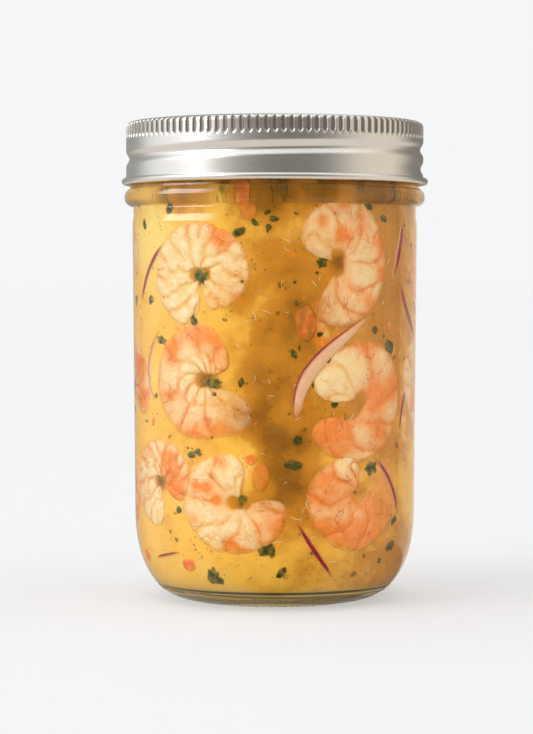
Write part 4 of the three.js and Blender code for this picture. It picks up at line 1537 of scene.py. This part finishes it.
def light_all_round(look):
    """The studio's light: bright on the left and above, warm on the right, and dark in front.

    The camera sees a plain backdrop only. What lies in the glass gets an evener fill. The mirror images in
    the glass show a softbox, a panel and a dark front, and blurred reflections a grey patch and the table.
    """
    light = Finish("studio_light", bpy.data.worlds)
    x, y, z = light.split(light.node("TexCoord", output="Generated"))
    degree = 180 / math.pi
    azimuth = x.maths("ARCTAN2", x, 0 - y) * degree
    height = z.maths("ARCSINE", z) * degree
    sharp = light.node("LightPath", output="Is Singular Ray")
    through = light.node("LightPath", output="Is Transmission Ray")
    mirror = sharp * (1 - through)
    blurred = light.node("LightPath", output="Is Glossy Ray") * (1 - sharp) * (1 - through)

    colour = light.mix(azimuth.step(-146, -112), look.back_left, look.left_light)
    colour = light.mix(azimuth.step(30, 80), colour, look.right_light)
    colour = light.mix(azimuth.step(104, 132), colour, look.back_right)
    colour = light.mix(azimuth.within(-95, 0, 30, 80), colour, look.front_light)
    colour = light.mix(height.step(-9, -26) * 0.5, colour, look.low_light)
    above = height.step(25, 60) * (1 - azimuth.step(-60, 40) * 0.25)
    colour = light.mix(above, colour, look.top_light)

    colour = light.mix(azimuth.within(-75, -35, 40, 70) * mirror, colour, DARK_FRONT)
    softbox = azimuth.within(-106, -94, -66, -44) * height.within(7, 10, 36, 42)
    colour = light.mix(softbox * mirror, colour, look.softbox)
    panel = azimuth.step(120, 123) * height.within(-16, -14, 44, 46)
    colour = light.mix(panel * mirror, colour, look.right_light)

    colour = light.mix(azimuth.step(-99, -141) * blurred, colour, GREY_PATCH)
    colour = light.mix(height.step(-8, -22) * blurred * 0.9, colour, look.table_light)

    fill = light.mix(azimuth.step(-70, 30), look.left_fill, look.right_fill)
    fill = light.mix(azimuth.step(60, 105), fill, look.left_fill)
    colour = light.mix(height.step(-12, -2) * through, colour, fill)

    lit = light.node("Background", inputs={"Color": colour})
    backdrop = [look.backdrop * part for part in BACKDROP_TINT]
    seen = light.node("Background", inputs={"Color": solid(backdrop)})
    camera_ray = light.node("LightPath", output="Is Camera Ray")
    mixed = light.node("MixShader", inputs={0: camera_ray, 1: lit, 2: seen})
    light.node("OutputWorld", inputs={"Surface": mixed})
    light.owner.cycles.sampling_method = "NONE"
    return light.owner


class CEVICHE_OT_studio(Operator):
    """Make the floor, the lights and the camera"""

    bl_idname = "ceviche.studio"
    bl_label = "Studio"

    def execute(self, context):
        look = context.scene.studio_look
        context.scene.world = light_all_round(look)

        bm = bmesh.new()
        bmesh.ops.create_circle(bm, cap_ends=True, segments=96, radius=FLOOR_RADIUS)
        mesh = bpy.data.meshes.new("studio_floor")
        bm.to_mesh(mesh)
        bm.free()
        finish = Finish("pale_floor")
        material = finish.surface(
            Base_Color=solid([look.floor * part for part in FLOOR_TINT]),
            Roughness=0.8,
            Specular_IOR_Level=0.1,
            Emission_Color=solid(GLOW_TINT),
            Emission_Strength=look.floor_glow,
        )
        mesh.materials.append(material)
        floor = bpy.data.objects.new("studio_floor", mesh)
        context.scene.collection.objects.link(floor)
        floor.visible_glossy = False

        key = bpy.data.lights.new("key", "SUN")
        key.energy = look.key
        key.angle = math.radians(KEY_SPREAD)
        key.cycles.use_multiple_importance_sampling = False
        lamp = bpy.data.objects.new("key", key)
        lamp.rotation_euler = (math.pi / 2 - look.key_height, 0, look.key_azimuth)
        context.scene.collection.objects.link(lamp)

        lens = bpy.data.cameras.new("camera")
        lens.sensor_fit = "AUTO"
        lens.sensor_width = SENSOR
        lens.lens = FOCAL_LENGTH
        lens.clip_end = CLIP_END
        camera = bpy.data.objects.new("camera", lens)
        camera.location = (CAMERA_X, -look.camera_distance, look.camera_height)
        camera.rotation_euler = (math.radians(90 - CAMERA_TILT), 0, 0)
        context.scene.collection.objects.link(camera)
        context.scene.camera = camera
        context.scene.view_settings.view_transform = "Standard"
        return {"FINISHED"}


OPERATORS = (
    CEVICHE_OT_studio,
    CEVICHE_OT_glass,
    CEVICHE_OT_band,
    CEVICHE_OT_lid,
    CEVICHE_OT_sauce,
    CEVICHE_OT_prawns,
    CEVICHE_OT_onions,
    CEVICHE_OT_tomato,
    CEVICHE_OT_herbs,
    CEVICHE_OT_pulp,
)


class CEVICHE_PT_panel(Panel):
    bl_label = "Jar of Ceviche"
    bl_idname = "CEVICHE_PT_panel"
    bl_space_type = "VIEW_3D"
    bl_region_type = "UI"
    bl_category = "Ceviche"

    def draw(self, context):
        for scene_name in LOOKS:
            look = getattr(context.scene, scene_name)
            box = self.layout.box()
            for name in look.bl_rna.properties.keys():
                if name not in ("rna_type", "name"):
                    box.prop(look, name)
        for operator in OPERATORS:
            self.layout.operator(operator.bl_idname)


LOOKS = {"ceviche_look": CevicheLook, "container_look": ContainerLook, "studio_look": StudioLook}


def register():
    for made in (*LOOKS.values(), *OPERATORS, CEVICHE_PT_panel):
        bpy.utils.register_class(made)
    for name, look in LOOKS.items():
        setattr(bpy.types.Scene, name, PointerProperty(type=look))


def unregister():
    for name in LOOKS:
        delattr(bpy.types.Scene, name)
    for made in (CEVICHE_PT_panel, *reversed(OPERATORS), *LOOKS.values()):
        bpy.utils.unregister_class(made)


def main():
    register()
    for operator in OPERATORS:
        group, name = operator.bl_idname.split(".")
        getattr(getattr(bpy.ops, group), name)()


if __name__ == "__main__":
    main()
